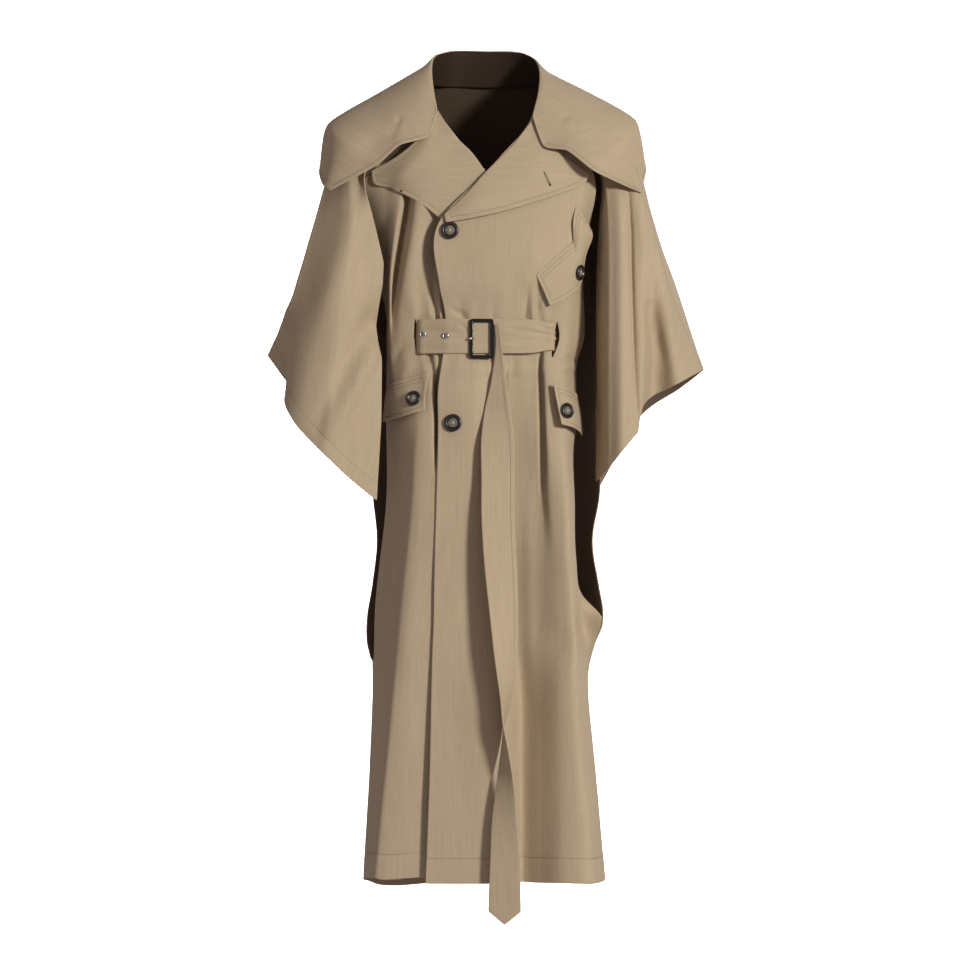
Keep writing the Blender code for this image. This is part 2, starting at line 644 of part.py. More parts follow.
def turn_between(first, second, third):
    """Above 0 where the way from the first place to the third turns left at the second."""
    a, b = second - first, third - first
    return a[0] * b[1] - a[1] * b[0]


def band(name, path, rows, width):
    """An upright strip of belt along (x, y) points."""
    heights = np.linspace(width / 2, -width / 2, rows + 1) - BELT_DROP
    points = np.array([[(x, y, z) for x, y in path] for z in heights])
    wall(name, points, BELT_WALL)


def belt_front(line, slit, way, end_x, name):
    """One stretch of belt in front, which dips into its slit. Returns the dip and its direction."""
    near, far = (slit[1], slit[0]) if way > 0 else slit
    xs = np.linspace(near - way * SLIT_CLEAR, end_x, BELT_STEPS)
    ys = np.interp(xs, line[:, 0], line[:, 1]) - BELT_LIFT
    dip = np.array((far, np.interp(far, line[:, 0], line[:, 1]) + SLIT_DIP))
    path = [dip] + list(zip(xs, ys))
    band(name, path if way > 0 else path[::-1], BELT_ROWS, BELT_WIDTH)
    into = dip - (xs[0], ys[0])
    return dip, into / np.linalg.norm(into)


def belt_back(left_dip, right_dip):
    """The hidden stretch inside the back, from one slit to the other."""
    left_half = np.array(BELT_BACK_PATH)
    right_half = left_half[:-1][::-1] * (-1.0, 1.0)
    starts = [dip + into * SEAM_PLAY for dip, into in (left_dip, right_dip)]
    path = np.concatenate([[starts[0]], left_half, right_half, [starts[1]]])
    steps = np.arange(len(path))
    band("belt_back", smooth(steps, path, spread(steps, BELT_BACK_STEPS)), BELT_ROWS, BELT_WIDTH)


def belt_tail(line):
    table = np.array(BELT_TAIL)
    drops, xs, offs, turns = smooth(table[:, 0], table, spread(table[:, 0], TAIL_ROWS)).T
    face = np.interp(xs[0], line[:, 0], line[:, 1]) - BELT_LIFT - BELT_WALL / 2
    points = []
    for drop, x, off, turn in zip(drops, xs, offs, np.radians(turns)):
        along = np.array((math.cos(turn), math.sin(turn), 0.0))
        middle = np.array((x, face - off - math.sin(turn) * TAIL_WIDTH / 2, -drop))
        points.append([middle + along * share * TAIL_WIDTH for share in TAIL_STATIONS])
    points = np.array(points)
    tip = points[-1].copy()
    tip[:, 2] -= TAIL_POINT * np.array(TAIL_TIP_SHARES)
    wall("belt_tail", np.concatenate([points, tip[None]]), BELT_WALL)


def rod(name, path, halves, closed, kind):
    """A rod along a path, with flat ends where it is open. Halves are half its depth and its width."""
    path = np.asarray(path, float)
    count = len(path)
    if closed:
        along = np.roll(path, -1, axis=0) - np.roll(path, 1, axis=0)
    else:
        along = np.gradient(path, axis=0)
    along /= np.linalg.norm(along, axis=1, keepdims=True)
    points = []
    out = np.array((0.0, -1.0, 0.0))
    for middle, way in zip(path, along):
        side = np.cross(way, out)
        side /= np.linalg.norm(side)
        up = np.cross(side, way)
        for k in range(ROD_SIDES):
            turn = 2 * math.pi * k / ROD_SIDES
            points.append(middle + halves[0] * math.cos(turn) * up + halves[1] * math.sin(turn) * side)
    faces = []
    for i in range(count if closed else count - 1):
        for k in range(ROD_SIDES):
            a = i * ROD_SIDES + k
            b = i * ROD_SIDES + (k + 1) % ROD_SIDES
            c = ((i + 1) % count) * ROD_SIDES + (k + 1) % ROD_SIDES
            d = ((i + 1) % count) * ROD_SIDES + k
            faces.append((a, b, c, d))
    if not closed:
        faces.append(tuple(reversed(range(ROD_SIDES))))
        faces.append(tuple(range((count - 1) * ROD_SIDES, count * ROD_SIDES)))
    add_object(name, points, faces, kind)


def buckle(line):
    """The frame round the belt, and the prong from its left bar across to its right bar."""
    y = np.interp(BUCKLE_X, line[:, 0], line[:, 1]) - BELT_LIFT - BUCKLE_LIFT
    half_width = BUCKLE_WIDTH / 2 - BUCKLE_BAR[1] - BUCKLE_CORNER
    half_height = BUCKLE_HEIGHT / 2 - BUCKLE_BAR[1] - BUCKLE_CORNER
    path = []
    for quarter, (sx, sz) in enumerate(((1, 1), (-1, 1), (-1, -1), (1, -1))):
        for step in range(CORNER_STEPS + 1):
            turn = (quarter + step / CORNER_STEPS) * math.pi / 2
            x = BUCKLE_X + sx * half_width + BUCKLE_CORNER * math.cos(turn)
            z = -BELT_DROP + sz * half_height + BUCKLE_CORNER * math.sin(turn)
            path.append((x, y, z))
    rod("buckle", path, BUCKLE_BAR, True, "metal")
    start, end = BUCKLE_X - BUCKLE_WIDTH / 2 - PRONG_OVER, BUCKLE_X + BUCKLE_WIDTH / 2
    xs = np.linspace(start, end, len(PRONG_SAGS))
    prong = [(px, y - PRONG_LIFT + sag, -BELT_DROP) for px, sag in zip(xs, PRONG_SAGS)]
    rod("buckle_prong", prong, PRONG_ROD, False, "metal")


def turned(name, profile, place, out, sides, kind):
    """A solid of revolution from (radius, height) points, its base at place and its axis along out."""
    side = np.cross(out, (0.0, 0.0, 1.0))
    side /= np.linalg.norm(side)
    up = np.cross(side, out)
    points = []
    starts = []
    for radius, height in profile:
        starts.append(len(points))
        for k in range(sides if radius > 0 else 1):
            turn = 2 * math.pi * k / sides
            spoke = math.cos(turn) * side + math.sin(turn) * up
            points.append(place + height * out + radius * spoke)
    faces = []
    for i, (start, after) in enumerate(zip(starts, starts[1:] + starts[:1])):
        for k in range(sides):
            n = (k + 1) % sides
            first = (start,) if profile[i][0] == 0 else (start + k, start + n)
            last = profile[(i + 1) % len(profile)][0] == 0
            second = (after,) if last else (after + n, after + k)
            if len(first) + len(second) > 2:
                faces.append(first + second)
    add_object(name, points, faces, kind)


def button(name, panel, place, radius, lift):
    out = normal_on(panel, *place)
    base = point_on(panel, *place) + out * (lift + BUTTON_PLAY)
    profile = [(r * radius, h * radius) for r, h in BUTTON_PROFILE]
    turned(name, profile, base, out, BUTTON_SIDES, "horn")


def eyelets(line):
    profile = (
        (EYELET_HOLE, 0.0),
        (EYELET_HOLE, EYELET_THICK),
        (EYELET_OUTER, EYELET_THICK),
        (EYELET_OUTER, 0.0),
    )
    for number, x in enumerate(EYELET_X, start=1):
        y = np.interp(x, line[:, 0], line[:, 1])
        before, after = np.interp((x - EYELET_OUTER, x + EYELET_OUTER), line[:, 0], line[:, 1])
        out = np.array((after - before, -2 * EYELET_OUTER, 0.0))
        out /= np.linalg.norm(out)
        base = np.array((x, y - BELT_LIFT, -BELT_DROP)) + out * (BELT_WALL / 2 + EYELET_PLAY)
        turned(f"eyelet_{number}", profile, base, out, BUTTON_SIDES, "metal")


def build():
    clear_scene()
    left = body_panel(FRONT_LEFT, FRONT_LEFT_HEM_DROPS, BODY_SLACK)
    right = body_panel(FRONT_RIGHT, FRONT_RIGHT_HEM_DROPS, BODY_SLACK)
    back = body_panel(BACK, BACK_HEM_DROPS, BACK_SLACK)

    left_points = laid(left.net, left.drops, BODY_ROWS, FRONT_LEFT_COLUMNS, BODY_SLACK)
    right_points = laid(right.net, right.drops, BODY_ROWS, FRONT_RIGHT_COLUMNS, BODY_SLACK)
    back_points = laid(back.net, back.drops, BODY_ROWS, BACK_COLUMNS, BACK_SLACK)
    sew_side(left_points, -1, back_points, 0)
    sew_side(right_points, 0, back_points, -1)
    wall("front_left", left_points, WALL, cut=slit_cells(left_points, left, LEFT_SLIT_X))
    wall("front_right", right_points, WALL, cut=slit_cells(right_points, right, RIGHT_SLIT_X))
    wall("back", back_points, WALL)
    depth = (WALL + LINING_WALL) / 2 + LINING_PLAY
    lined = moved(back_points, -depth)[: LINING_LAST_LEVEL * BODY_ROWS]
    wall("back_lining", lined[:, 1:-1], LINING_WALL, "lining")

    left_edge = np.concatenate([edge_of(left, -1, RAGLAN_DROPS, SEAM_PLAY), LEFT_WING_EDGE])
    right_edge = np.concatenate([edge_of(right, 0, RAGLAN_DROPS, SEAM_PLAY), RIGHT_WING_EDGE])
    wing("left", LEFT_WING, left_edge, edge_of(back, 0, BLADE_DROPS, BLADE_PLAY), LEFT_RIDGE)
    wing("right", RIGHT_WING, right_edge, edge_of(back, -1, BLADE_DROPS, BLADE_PLAY), RIGHT_RIDGE)

    collar = np.array(COLLAR).swapaxes(0, 1)
    collar_points = laid(collar, np.arange(len(collar)), COLLAR_ROWS, COLLAR_COLUMNS, 1.0)
    collar_out = normals(collar_points)
    fold = COLLAR_ROWS
    stand = collar_points[: fold + 1].copy()
    rise = stand[-1] - stand[-2]
    stand[-1] -= STAND_PLAY * rise / np.linalg.norm(rise, axis=1, keepdims=True)
    wall("collar_stand", stand, FLAP_WALL, "lining", out=collar_out[: fold + 1])
    wall("collar", collar_points[fold:], FLAP_WALL, out=collar_out[fold:])
    wall("lapel_left", on_panel(left, LEFT_LAPEL, LAPEL_LIFT, LAPEL_STEPS), FLAP_WALL)
    wall("lapel_right", on_panel(right, RIGHT_LAPEL, LAPEL_LIFT, LAPEL_STEPS), FLAP_WALL)
    wall("chest_flap", on_panel(left, CHEST_FLAP, CHEST_FLAP_LIFT, FLAP_STEPS), FLAP_WALL)
    for side, panel, table in (("left", left, LEFT_POCKET_FLAP), ("right", right, RIGHT_POCKET_FLAP)):
        wall(f"pocket_flap_{side}", on_panel(panel, table, POCKET_FLAP_LIFT, FLAP_STEPS), FLAP_WALL)

    line = taut_line(left, right)
    beside = BUCKLE_WIDTH / 2 - BUCKLE_BAR[1]
    right_dip = belt_front(line, RIGHT_SLIT_X, 1, BUCKLE_X + beside, "belt_right")
    left_dip = belt_front(line, LEFT_SLIT_X, -1, BUCKLE_X + beside + SEAM_PLAY, "belt_left")
    belt_back(left_dip, right_dip)
    belt_tail(line)
    buckle(line)
    eyelets(line)

    for number, place in enumerate(FRONT_BUTTONS, start=1):
        button(f"button_front_{number}", left, place, BUTTON_RADIUS, WALL / 2)
    on_chest = CHEST_BUTTON_LIFT + FLAP_WALL / 2
    on_pocket = POCKET_BUTTON_LIFT + FLAP_WALL / 2
    button("button_chest", left, CHEST_BUTTON, FLAP_BUTTON_RADIUS, on_chest)
    button("button_pocket_left", left, LEFT_POCKET_BUTTON, FLAP_BUTTON_RADIUS, on_pocket)
    button("button_pocket_right", right, RIGHT_POCKET_BUTTON, FLAP_BUTTON_RADIUS, on_pocket)


build()
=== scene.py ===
# %% [markdown]
# # Dressing a cape trench coat
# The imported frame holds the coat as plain, thin CAD walls. This lesson lays finer cloth over those
# walls, presses its creases, sews its stitches and gives each piece the finish of the real one.
# Everything is built in metres, with +Z up and the coat's front towards -Y, and only tables of places
# are written in millimetres, as on a maker's pattern. A drop is a distance below the shoulders,
# where the origin lies.

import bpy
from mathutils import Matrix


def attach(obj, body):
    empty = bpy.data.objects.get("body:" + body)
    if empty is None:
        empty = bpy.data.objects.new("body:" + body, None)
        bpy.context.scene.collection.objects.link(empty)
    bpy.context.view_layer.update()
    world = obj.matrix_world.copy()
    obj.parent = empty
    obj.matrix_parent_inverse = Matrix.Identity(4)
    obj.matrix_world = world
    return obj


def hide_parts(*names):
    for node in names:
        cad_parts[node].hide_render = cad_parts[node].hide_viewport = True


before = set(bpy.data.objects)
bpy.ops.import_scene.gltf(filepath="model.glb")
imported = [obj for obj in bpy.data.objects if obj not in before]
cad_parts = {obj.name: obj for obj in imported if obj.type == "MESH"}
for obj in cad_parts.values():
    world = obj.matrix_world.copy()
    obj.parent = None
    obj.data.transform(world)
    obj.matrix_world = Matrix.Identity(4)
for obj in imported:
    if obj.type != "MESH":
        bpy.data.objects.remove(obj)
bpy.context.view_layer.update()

import math

import bpy
import numpy as np
from mathutils import Vector, noise

# %% [markdown]
# ## The finishes
# Gabardine is a tight steep twill of cotton. From a few steps away the twill itself is too fine to
# see, and what shows is its yarn: thin pale and dark streaks along the warp, where the thread runs
# thick or thin. So the colour comes from a noise stretched along the warp, the twill goes into the
# bump, and a broad soft noise keeps large panels from looking printed. The cloth coordinates are
# metres on the cloth, so one material serves every piece at the same scale.

# %% Node helpers
CLOTH_MAP = "cloth"
NOISE_ROUGHNESS = 0.55


def new_material(name):
    material = bpy.data.materials.new(name)
    material.use_nodes = True
    return material, material.node_tree, material.node_tree.nodes["Principled BSDF"]


def stretched_noise(tree, source, scales, detail):
    """A noise whose grains are 1 / scales metres wide and long."""
    mapping = tree.nodes.new("ShaderNodeMapping")
    mapping.inputs["Scale"].default_value = scales
    tree.links.new(source, mapping.inputs["Vector"])
    grain = tree.nodes.new("ShaderNodeTexNoise")
    grain.inputs["Scale"].default_value = 1.0
    grain.inputs["Detail"].default_value = detail
    grain.inputs["Roughness"].default_value = NOISE_ROUGHNESS
    tree.links.new(mapping.outputs["Vector"], grain.inputs["Vector"])
    return grain.outputs["Fac"]


def weighed(tree, *shares):
    """The sum of (output, weight) pairs."""
    total = None
    for output, weight in shares:
        node = tree.nodes.new("ShaderNodeMath")
        node.operation = "MULTIPLY_ADD" if total else "MULTIPLY"
        tree.links.new(output, node.inputs[0])
        node.inputs[1].default_value = weight
        if total:
            tree.links.new(total, node.inputs[2])
        total = node.outputs[0]
    return total


def ramp(tree, source, stops):
    """Colours at places along a value, as (place, colour) pairs."""
    node = tree.nodes.new("ShaderNodeValToRGB")
    while len(node.color_ramp.elements) < len(stops):
        node.color_ramp.elements.new(0.5)
    for element, (place, colour) in zip(node.color_ramp.elements, stops):
        element.position = place
        element.color = (*colour, 1.0)
    tree.links.new(source, node.inputs["Fac"])
    return node.outputs["Color"]


def graded(tree, source, low, high):
    """A value from 0 to 1 brought to the span from low to high."""
    node = tree.nodes.new("ShaderNodeMapRange")
    node.inputs["To Min"].default_value = low
    node.inputs["To Max"].default_value = high
    tree.links.new(source, node.inputs["Value"])
    return node.outputs["Result"]


def raised(tree, shader, height, strength, depth):
    bump = tree.nodes.new("ShaderNodeBump")
    bump.inputs["Strength"].default_value = strength
    bump.inputs["Distance"].default_value = depth
    tree.links.new(height, bump.inputs["Height"])
    tree.links.new(bump.outputs["Normal"], shader.inputs["Normal"])


print("cloth coordinates are kept in the map:", CLOTH_MAP)

# %% [markdown]
# ## Gabardine and lining
# The lining is a smooth satin. Its colour darkens with height, from the armholes to the shoulders, and this
# darkening is painted shade, standing in for how little light gets up between the coat's layers to the
# neck. The inside of the collar stand has the same finish in deeper colours, which are painted shade too.

# %% Weave the gabardine and the lining
CLOTH_DARK = (0.345, 0.266, 0.165)
CLOTH_MIDDLE = (0.430, 0.335, 0.211)
CLOTH_LIGHT = (0.502, 0.397, 0.264)
LINING_DARK = (0.058, 0.040, 0.025)
LINING_LIGHT = (0.215, 0.156, 0.110)
# The collar stand's lining colours: the lining's in deeper tones, painted shade for the dark inside of the
# neck.
NECK_SHADE_DARK = (0.028, 0.018, 0.011)
NECK_SHADE_LIGHT = (0.060, 0.042, 0.028)
SLUB_GRAIN = (520.0, 14.0, 1.0)
YARN_GRAIN = (1500.0, 260.0, 1.0)
WEFT_GRAIN = (60.0, 900.0, 1.0)
BROAD_GRAIN = (7.0, 4.0, 1.0)
SATIN_GRAIN = (300.0, 900.0, 1.0)
SATIN_BROAD_GRAIN = (9.0, 5.0, 1.0)
TWILL_SCALE = 620.0
TWILL_SLANT = (1.0, 0.5, 1.0)
# Painted shade on the lining: full at the upper of these heights, none at the lower.
FULL_SHADE_HEIGHT = -0.10
NO_SHADE_HEIGHT = -0.45


def cloth_coordinates(tree):
    node = tree.nodes.new("ShaderNodeUVMap")
    node.uv_map = CLOTH_MAP
    return node.outputs["UV"]


def twill(tree, source):
    """Steep diagonal ribs, two thirds of a millimetre apart."""
    mapping = tree.nodes.new("ShaderNodeMapping")
    mapping.inputs["Scale"].default_value = TWILL_SLANT
    tree.links.new(source, mapping.inputs["Vector"])
    wave = tree.nodes.new("ShaderNodeTexWave")
    wave.bands_direction = "DIAGONAL"
    wave.inputs["Scale"].default_value = TWILL_SCALE
    wave.inputs["Distortion"].default_value = 0.6
    tree.links.new(mapping.outputs["Vector"], wave.inputs["Vector"])
    return wave.outputs["Fac"]


def gabardine():
    material, tree, shader = new_material("gabardine")
    cloth = cloth_coordinates(tree)
    slub = stretched_noise(tree, cloth, SLUB_GRAIN, detail=3.0)
    yarn = stretched_noise(tree, cloth, YARN_GRAIN, detail=2.0)
    weft = stretched_noise(tree, cloth, WEFT_GRAIN, detail=2.0)
    broad = stretched_noise(tree, cloth, BROAD_GRAIN, detail=2.0)
    tone = weighed(tree, (slub, 0.36), (yarn, 0.30), (weft, 0.18), (broad, 0.16))
    stops = ((0.30, CLOTH_DARK), (0.50, CLOTH_MIDDLE), (0.70, CLOTH_LIGHT))
    tree.links.new(ramp(tree, tone, stops), shader.inputs["Base Color"])
    tree.links.new(graded(tree, yarn, low=0.74, high=0.92), shader.inputs["Roughness"])
    height = weighed(tree, (twill(tree, cloth), 0.5), (slub, 0.35), (yarn, 0.25))
    raised(tree, shader, height, strength=0.35, depth=0.0004)
    shader.inputs["Specular IOR Level"].default_value = 0.22
    shader.inputs["Sheen Weight"].default_value = 0.08
    shader.inputs["Sheen Roughness"].default_value = 0.5
    shader.inputs["Sheen Tint"].default_value = (0.80, 0.72, 0.60, 1.0)
    return material


def lining_satin(name, dark, light):
    material, tree, shader = new_material(name)
    cloth = cloth_coordinates(tree)
    yarn = stretched_noise(tree, cloth, SATIN_GRAIN, detail=3.0)
    broad = stretched_noise(tree, cloth, SATIN_BROAD_GRAIN, detail=2.0)
    place = tree.nodes.new("ShaderNodeTexCoord").outputs["Object"]
    split = tree.nodes.new("ShaderNodeSeparateXYZ")
    tree.links.new(place, split.inputs[0])
    # Painted shade: the lining's colour darkens with height towards the neck.
    fall = tree.nodes.new("ShaderNodeMapRange")
    fall.inputs["From Min"].default_value = FULL_SHADE_HEIGHT
    fall.inputs["From Max"].default_value = NO_SHADE_HEIGHT
    tree.links.new(split.outputs["Z"], fall.inputs["Value"])
    tone = weighed(tree, (yarn, 0.24), (broad, 0.16), (fall.outputs["Result"], 0.60))
    stops = ((0.16, dark), (0.80, light))
    tree.links.new(ramp(tree, tone, stops), shader.inputs["Base Color"])
    tree.links.new(graded(tree, yarn, low=0.50, high=0.68), shader.inputs["Roughness"])
    raised(tree, shader, yarn, strength=0.15, depth=0.0002)
    shader.inputs["Specular IOR Level"].default_value = 0.06
    return material


GABARDINE = gabardine()
# The lining's colour carries painted shade towards the neck.
LINING = lining_satin("lining_satin", LINING_DARK, LINING_LIGHT)
# A copy of the lining in deeper colours: painted shade for the inside of the neck.
SHADED_NECK_LINING = lining_satin("shaded_neck_lining", NECK_SHADE_DARK, NECK_SHADE_LIGHT)
print("cloth materials:", GABARDINE.name, LINING.name, SHADED_NECK_LINING.name)

# %% [markdown]
# ## Hard finishes
# The buttons are dark horn, polished but a little cloudy, with a paler heart. The buckle is black
# enamel, its prong and the eyelets are bright nickel. The seams' thread is a shade darker than the
# cloth and the buttons' thread a shade paler. Each has its own small unevenness, because a perfectly
# even gloss looks like a rendering.

# %% Mix horn, enamel, nickel and thread
COAT_ROUGHNESS = 0.12
THREAD_DEPTH = 0.0002


def hard_material(name, dark, light, grain, roughness, span=(0.30, 0.70), metallic=0.0, coat=0.0, bump=0.0):
    """A finish that clouds from dark to light over a span of its noise."""
    material, tree, shader = new_material(name)
    place = tree.nodes.new("ShaderNodeTexCoord").outputs["Object"]
    cloud = stretched_noise(tree, place, (grain, grain, grain), detail=4.0)
    tree.links.new(ramp(tree, cloud, tuple(zip(span, (dark, light)))), shader.inputs["Base Color"])
    tree.links.new(graded(tree, cloud, *roughness), shader.inputs["Roughness"])
    shader.inputs["Metallic"].default_value = metallic
    shader.inputs["Coat Weight"].default_value = coat
    shader.inputs["Coat Roughness"].default_value = COAT_ROUGHNESS
    if bump:
        raised(tree, shader, cloud, bump, THREAD_DEPTH)
    return material


HORN = hard_material(
    "polished_horn", (0.005, 0.004, 0.004), (0.020, 0.014, 0.010), 160.0, (0.30, 0.46),
    span=(0.35, 0.70), coat=0.15,
)
HORN_HEART = hard_material(
    "horn_heart", (0.090, 0.078, 0.056), (0.200, 0.175, 0.132), 420.0, (0.34, 0.52), coat=0.1
)
ENAMEL = hard_material(
    "black_enamel", (0.003, 0.003, 0.004), (0.011, 0.011, 0.012), 240.0, (0.04, 0.09), span=(0.30, 0.75)
)
NICKEL = hard_material(
    "bright_nickel", (0.52, 0.50, 0.47), (0.78, 0.76, 0.73), 300.0, (0.14, 0.32), metallic=1.0
)
THREAD = hard_material(
    "sewing_thread", (0.115, 0.084, 0.054), (0.175, 0.130, 0.086), 900.0, (0.70, 0.90), bump=0.3
)
BUTTON_THREAD = hard_material(
    "button_thread", (0.300, 0.240, 0.165), (0.470, 0.385, 0.280), 1200.0, (0.70, 0.90), bump=0.3
)
# Painted shade for holes: the buttons' holes and the buttonholes' eyes are dark discs that stand for the
# shade inside them.
PAINTED_HOLE_SHADE = hard_material(
    "slit_shadow", (0.010, 0.007, 0.005), (0.020, 0.014, 0.010), 600.0, (0.80, 0.95)
)
print("hard materials: horn and its heart, enamel, nickel, threads, slit")

# %% [markdown]
# ## Laying cloth through a net
# A panel is known at a few levels and a few stations across: its edges and the ridges and valleys
# of its folds. A smooth curve through those gives every point between. Subdivision would round the
# folds away, and a simulation would drape them somewhere else, so the points are worked out on the
# curve itself. Rows and columns are spaced by their length on the cloth, closer along the edges,
# where the turned seam and its row of stitches need them.

# %% Smooth curves and even spacing
EDGE_STEPS = np.array((0.0, 0.0012, 0.0026, 0.0040, 0.0052, 0.0064, 0.0080, 0.0105))
CLOSE_STEPS = np.linspace(-0.0090, 0.0090, 13)
CLOTH_STEP = 0.0042
LENGTH_SAMPLES = 400


def smooth(knots, values, places, slack=1.0):
    """Values at places on a smooth curve that passes through values at knots."""
    knots = np.asarray(knots, float)
    values = np.asarray(values, float)
    places = np.asarray(places, float)
    slopes = np.gradient(values, knots, axis=0) * slack
    span = np.clip(np.searchsorted(knots, places, side="right") - 1, 0, len(knots) - 2)
    across = (-1,) + (1,) * (values.ndim - 1)
    width = (knots[span + 1] - knots[span]).reshape(across)
    t = (places - knots[span]).reshape(across) / width
    near = (1 + 2 * t) * (1 - t) ** 2 * values[span] + t * (1 - t) ** 2 * width * slopes[span]
    far = t**2 * (3 - 2 * t) * values[span + 1] + t**2 * (t - 1) * width * slopes[span + 1]
    return near + far


def unit(vectors):
    return vectors / np.linalg.norm(vectors, axis=-1, keepdims=True)


def lengths_along(points, axis):
    """How far each point lies from the first one along an axis of a grid or line, on the cloth."""
    run = np.cumsum(np.linalg.norm(np.diff(points, axis=axis), axis=-1), axis=axis)
    return np.insert(run, 0, 0.0, axis=axis)


def on_line(line, run, where):
    """The places on a line of points where a value that rises along it, run, reaches some others."""
    return np.stack([np.interp(where, run, line[:, k]) for k in range(3)], axis=-1)


def even_places(net, knots, step, keep=(), close=()):
    """Places along the net's first axis, one step apart on the cloth, closer at edges and grooves."""
    dense = np.linspace(knots[0], knots[-1], LENGTH_SAMPLES)
    length = lengths_along(smooth(knots, net, dense), 0).mean(axis=1)
    near_edge = EDGE_STEPS[EDGE_STEPS < length[-1] / 3]
    middle = length[-1] - 2 * near_edge[-1]
    inner = near_edge[-1] + np.linspace(0.0, middle, max(2, round(middle / step) + 1))
    marks = np.concatenate([near_edge[:-1], inner, length[-1] - near_edge[:-1][::-1]])
    for place in close:
        groove = np.interp(place, dense, length) + CLOSE_STEPS
        marks = np.concatenate([marks[(marks < groove[0]) | (marks > groove[-1])], groove])
    marks.sort()
    places = np.interp(marks, length, dense)
    for place in keep:
        places[int(np.argmin(np.abs(places - place)))] = place
    return places


def laid(net, knots, step, slack=1.0, keep_rows=(), keep_columns=(), close=(), fall=1.0):
    """A fine grid of points on the surface through the net, with the places of its rows and columns."""
    stations = lengths_along(net, 1).mean(axis=0)
    down = even_places(net, knots, step, keep_rows)
    kept, grooves = ([stations[k] for k in columns] for columns in (keep_columns, close))
    across = even_places(net.swapaxes(0, 1), stations, step, kept, grooves)
    rows = smooth(knots, net, down, fall)
    points = smooth(stations, rows.swapaxes(0, 1), across, slack).swapaxes(0, 1)
    return points, down, np.interp(across, stations, np.arange(len(stations)))


def normals(points):
    """The direction out of a grid at each of its points."""
    return unit(np.cross(np.gradient(points, axis=0), np.gradient(points, axis=1)))


def outward(net):
    """The net with its rows turned, if need be, so that its outside faces the viewer."""
    return net if normals(net)[..., 1].mean() < 0 else net[::-1]


def moved(points, distance):
    return points + normals(points) * np.asarray(distance)[..., None]


print("halfway up a smooth hump of 1:", smooth((0, 1, 2), (0, 1, 0), (0.5,))[0])

# %% [markdown]
# ## Creases, ripples and turned edges
# Real cloth is never as even as the net. A crease is a soft trough or ridge along a line that is given as
# (x, drop) at its two ends. One that runs fades at both ends, and one that fans out of a seam or belt is
# strongest where it starts. A slow ripple moves everything by parts of a millimetre, and along a sewn edge
# the folded seam stands up a little inside its row of stitches.

# %% Press the cloth
STITCH_INSET = 0.0060
EDGE_RISE = 0.0003
EDGE_SOFTNESS = 0.0007
STITCH_DIP = 0.0004
STITCH_DIP_HALF = 0.0010
RIPPLE_STRETCH = 2.2
RUNS = "runs"
FANS = "fans"


def creased(points, creases):
    """The grid with each crease pressed in: x and drop at its ends, half width, height and kind."""
    x, drop = points[..., 0], -points[..., 2]
    height = np.zeros(x.shape)
    for x0, drop0, x1, drop1, width, rise, kind in creases:
        along = np.array((x1 - x0, drop1 - drop0))
        length = np.linalg.norm(along)
        along /= length
        place = ((x - x0) * along[0] + (drop - drop0) * along[1]) / length
        off = (x - x0) * along[1] - (drop - drop0) * along[0]
        inside = np.clip(place, 0.0, 1.0)
        if kind == RUNS:
            fade = np.sin(math.pi * inside) ** 0.7
            spread = 1.0
        else:
            fade = (1.0 - inside) ** 1.3
            spread = 0.6 + 0.9 * inside
        beyond = np.maximum(np.maximum(-place, place - 1.0), 0.0) * length
        fade = np.where(beyond > 0, fade * np.exp(-((beyond / width) ** 2)), fade)
        height += rise * fade * np.exp(-((off / (width * spread)) ** 2))
    return moved(points, height)


def rippled(points, size, rise, seed):
    """The grid with a slow, uneven ripple that is longer down the cloth than across it."""
    height = np.empty(points.shape[:2])
    for i, row in enumerate(points):
        for j, (x, y, z) in enumerate(row):
            height[i, j] = noise.noise(Vector((x / size + seed, y / size, z / size / RIPPLE_STRETCH)))
    return moved(points, height * rise)


def edge_distance(points, edges):
    """How far each point lies from the nearest of the named edges, measured on the cloth."""
    far = np.full(points.shape[:2], 9.0)
    for edge in edges:
        distance = lengths_along(facing(points, edge), 1)
        far = np.minimum(far, facing_back(distance, edge))
    return far


def facing(grid, edge):
    """The grid turned so that the named edge is its first column."""
    if edge in ("top", "bottom"):
        grid = grid.swapaxes(0, 1)
    return grid[:, ::-1] if edge in ("end", "bottom") else grid


def facing_back(grid, edge):
    if edge in ("end", "bottom"):
        grid = grid[:, ::-1]
    return grid.swapaxes(0, 1) if edge in ("top", "bottom") else grid


def turned_in(points, edges, inset=STITCH_INSET, rise=EDGE_RISE, dip=STITCH_DIP):
    """The grid with a folded seam along the named edges and a shallow groove under its stitches."""
    off = edge_distance(points, edges)
    fold = rise / (1.0 + np.exp((off - inset) / EDGE_SOFTNESS))
    groove = dip * np.exp(-(((off - inset) / STITCH_DIP_HALF) ** 2))
    return moved(points, fold - groove)


print("stitches lie", STITCH_INSET, "m inside an edge")

# %% [markdown]
# ## From a grid to a piece of cloth
# A sheet with no thickness has knife edges. Each grid becomes a closed shell instead: an outer skin,
# an inner skin, and a rounded rim round every border, a slit's too, so that edges catch the light
# as a fold of cloth does. Solidify would do it, but its rim is flat and it can't round a slit.

# %% Shells with rounded rims
RIM_TURNS = (math.pi / 4, 0.0, -math.pi / 4)
CLOTH_WALL = 0.0018


def cloth_metres(points):
    """Across and along each point in metres on the cloth, so that a weave keeps its scale."""
    across = lengths_along(points, 1) + points[:, :1, 0]
    along = lengths_along(points, 0) - points[:1, :, 2]
    return np.stack([across, along], axis=2)


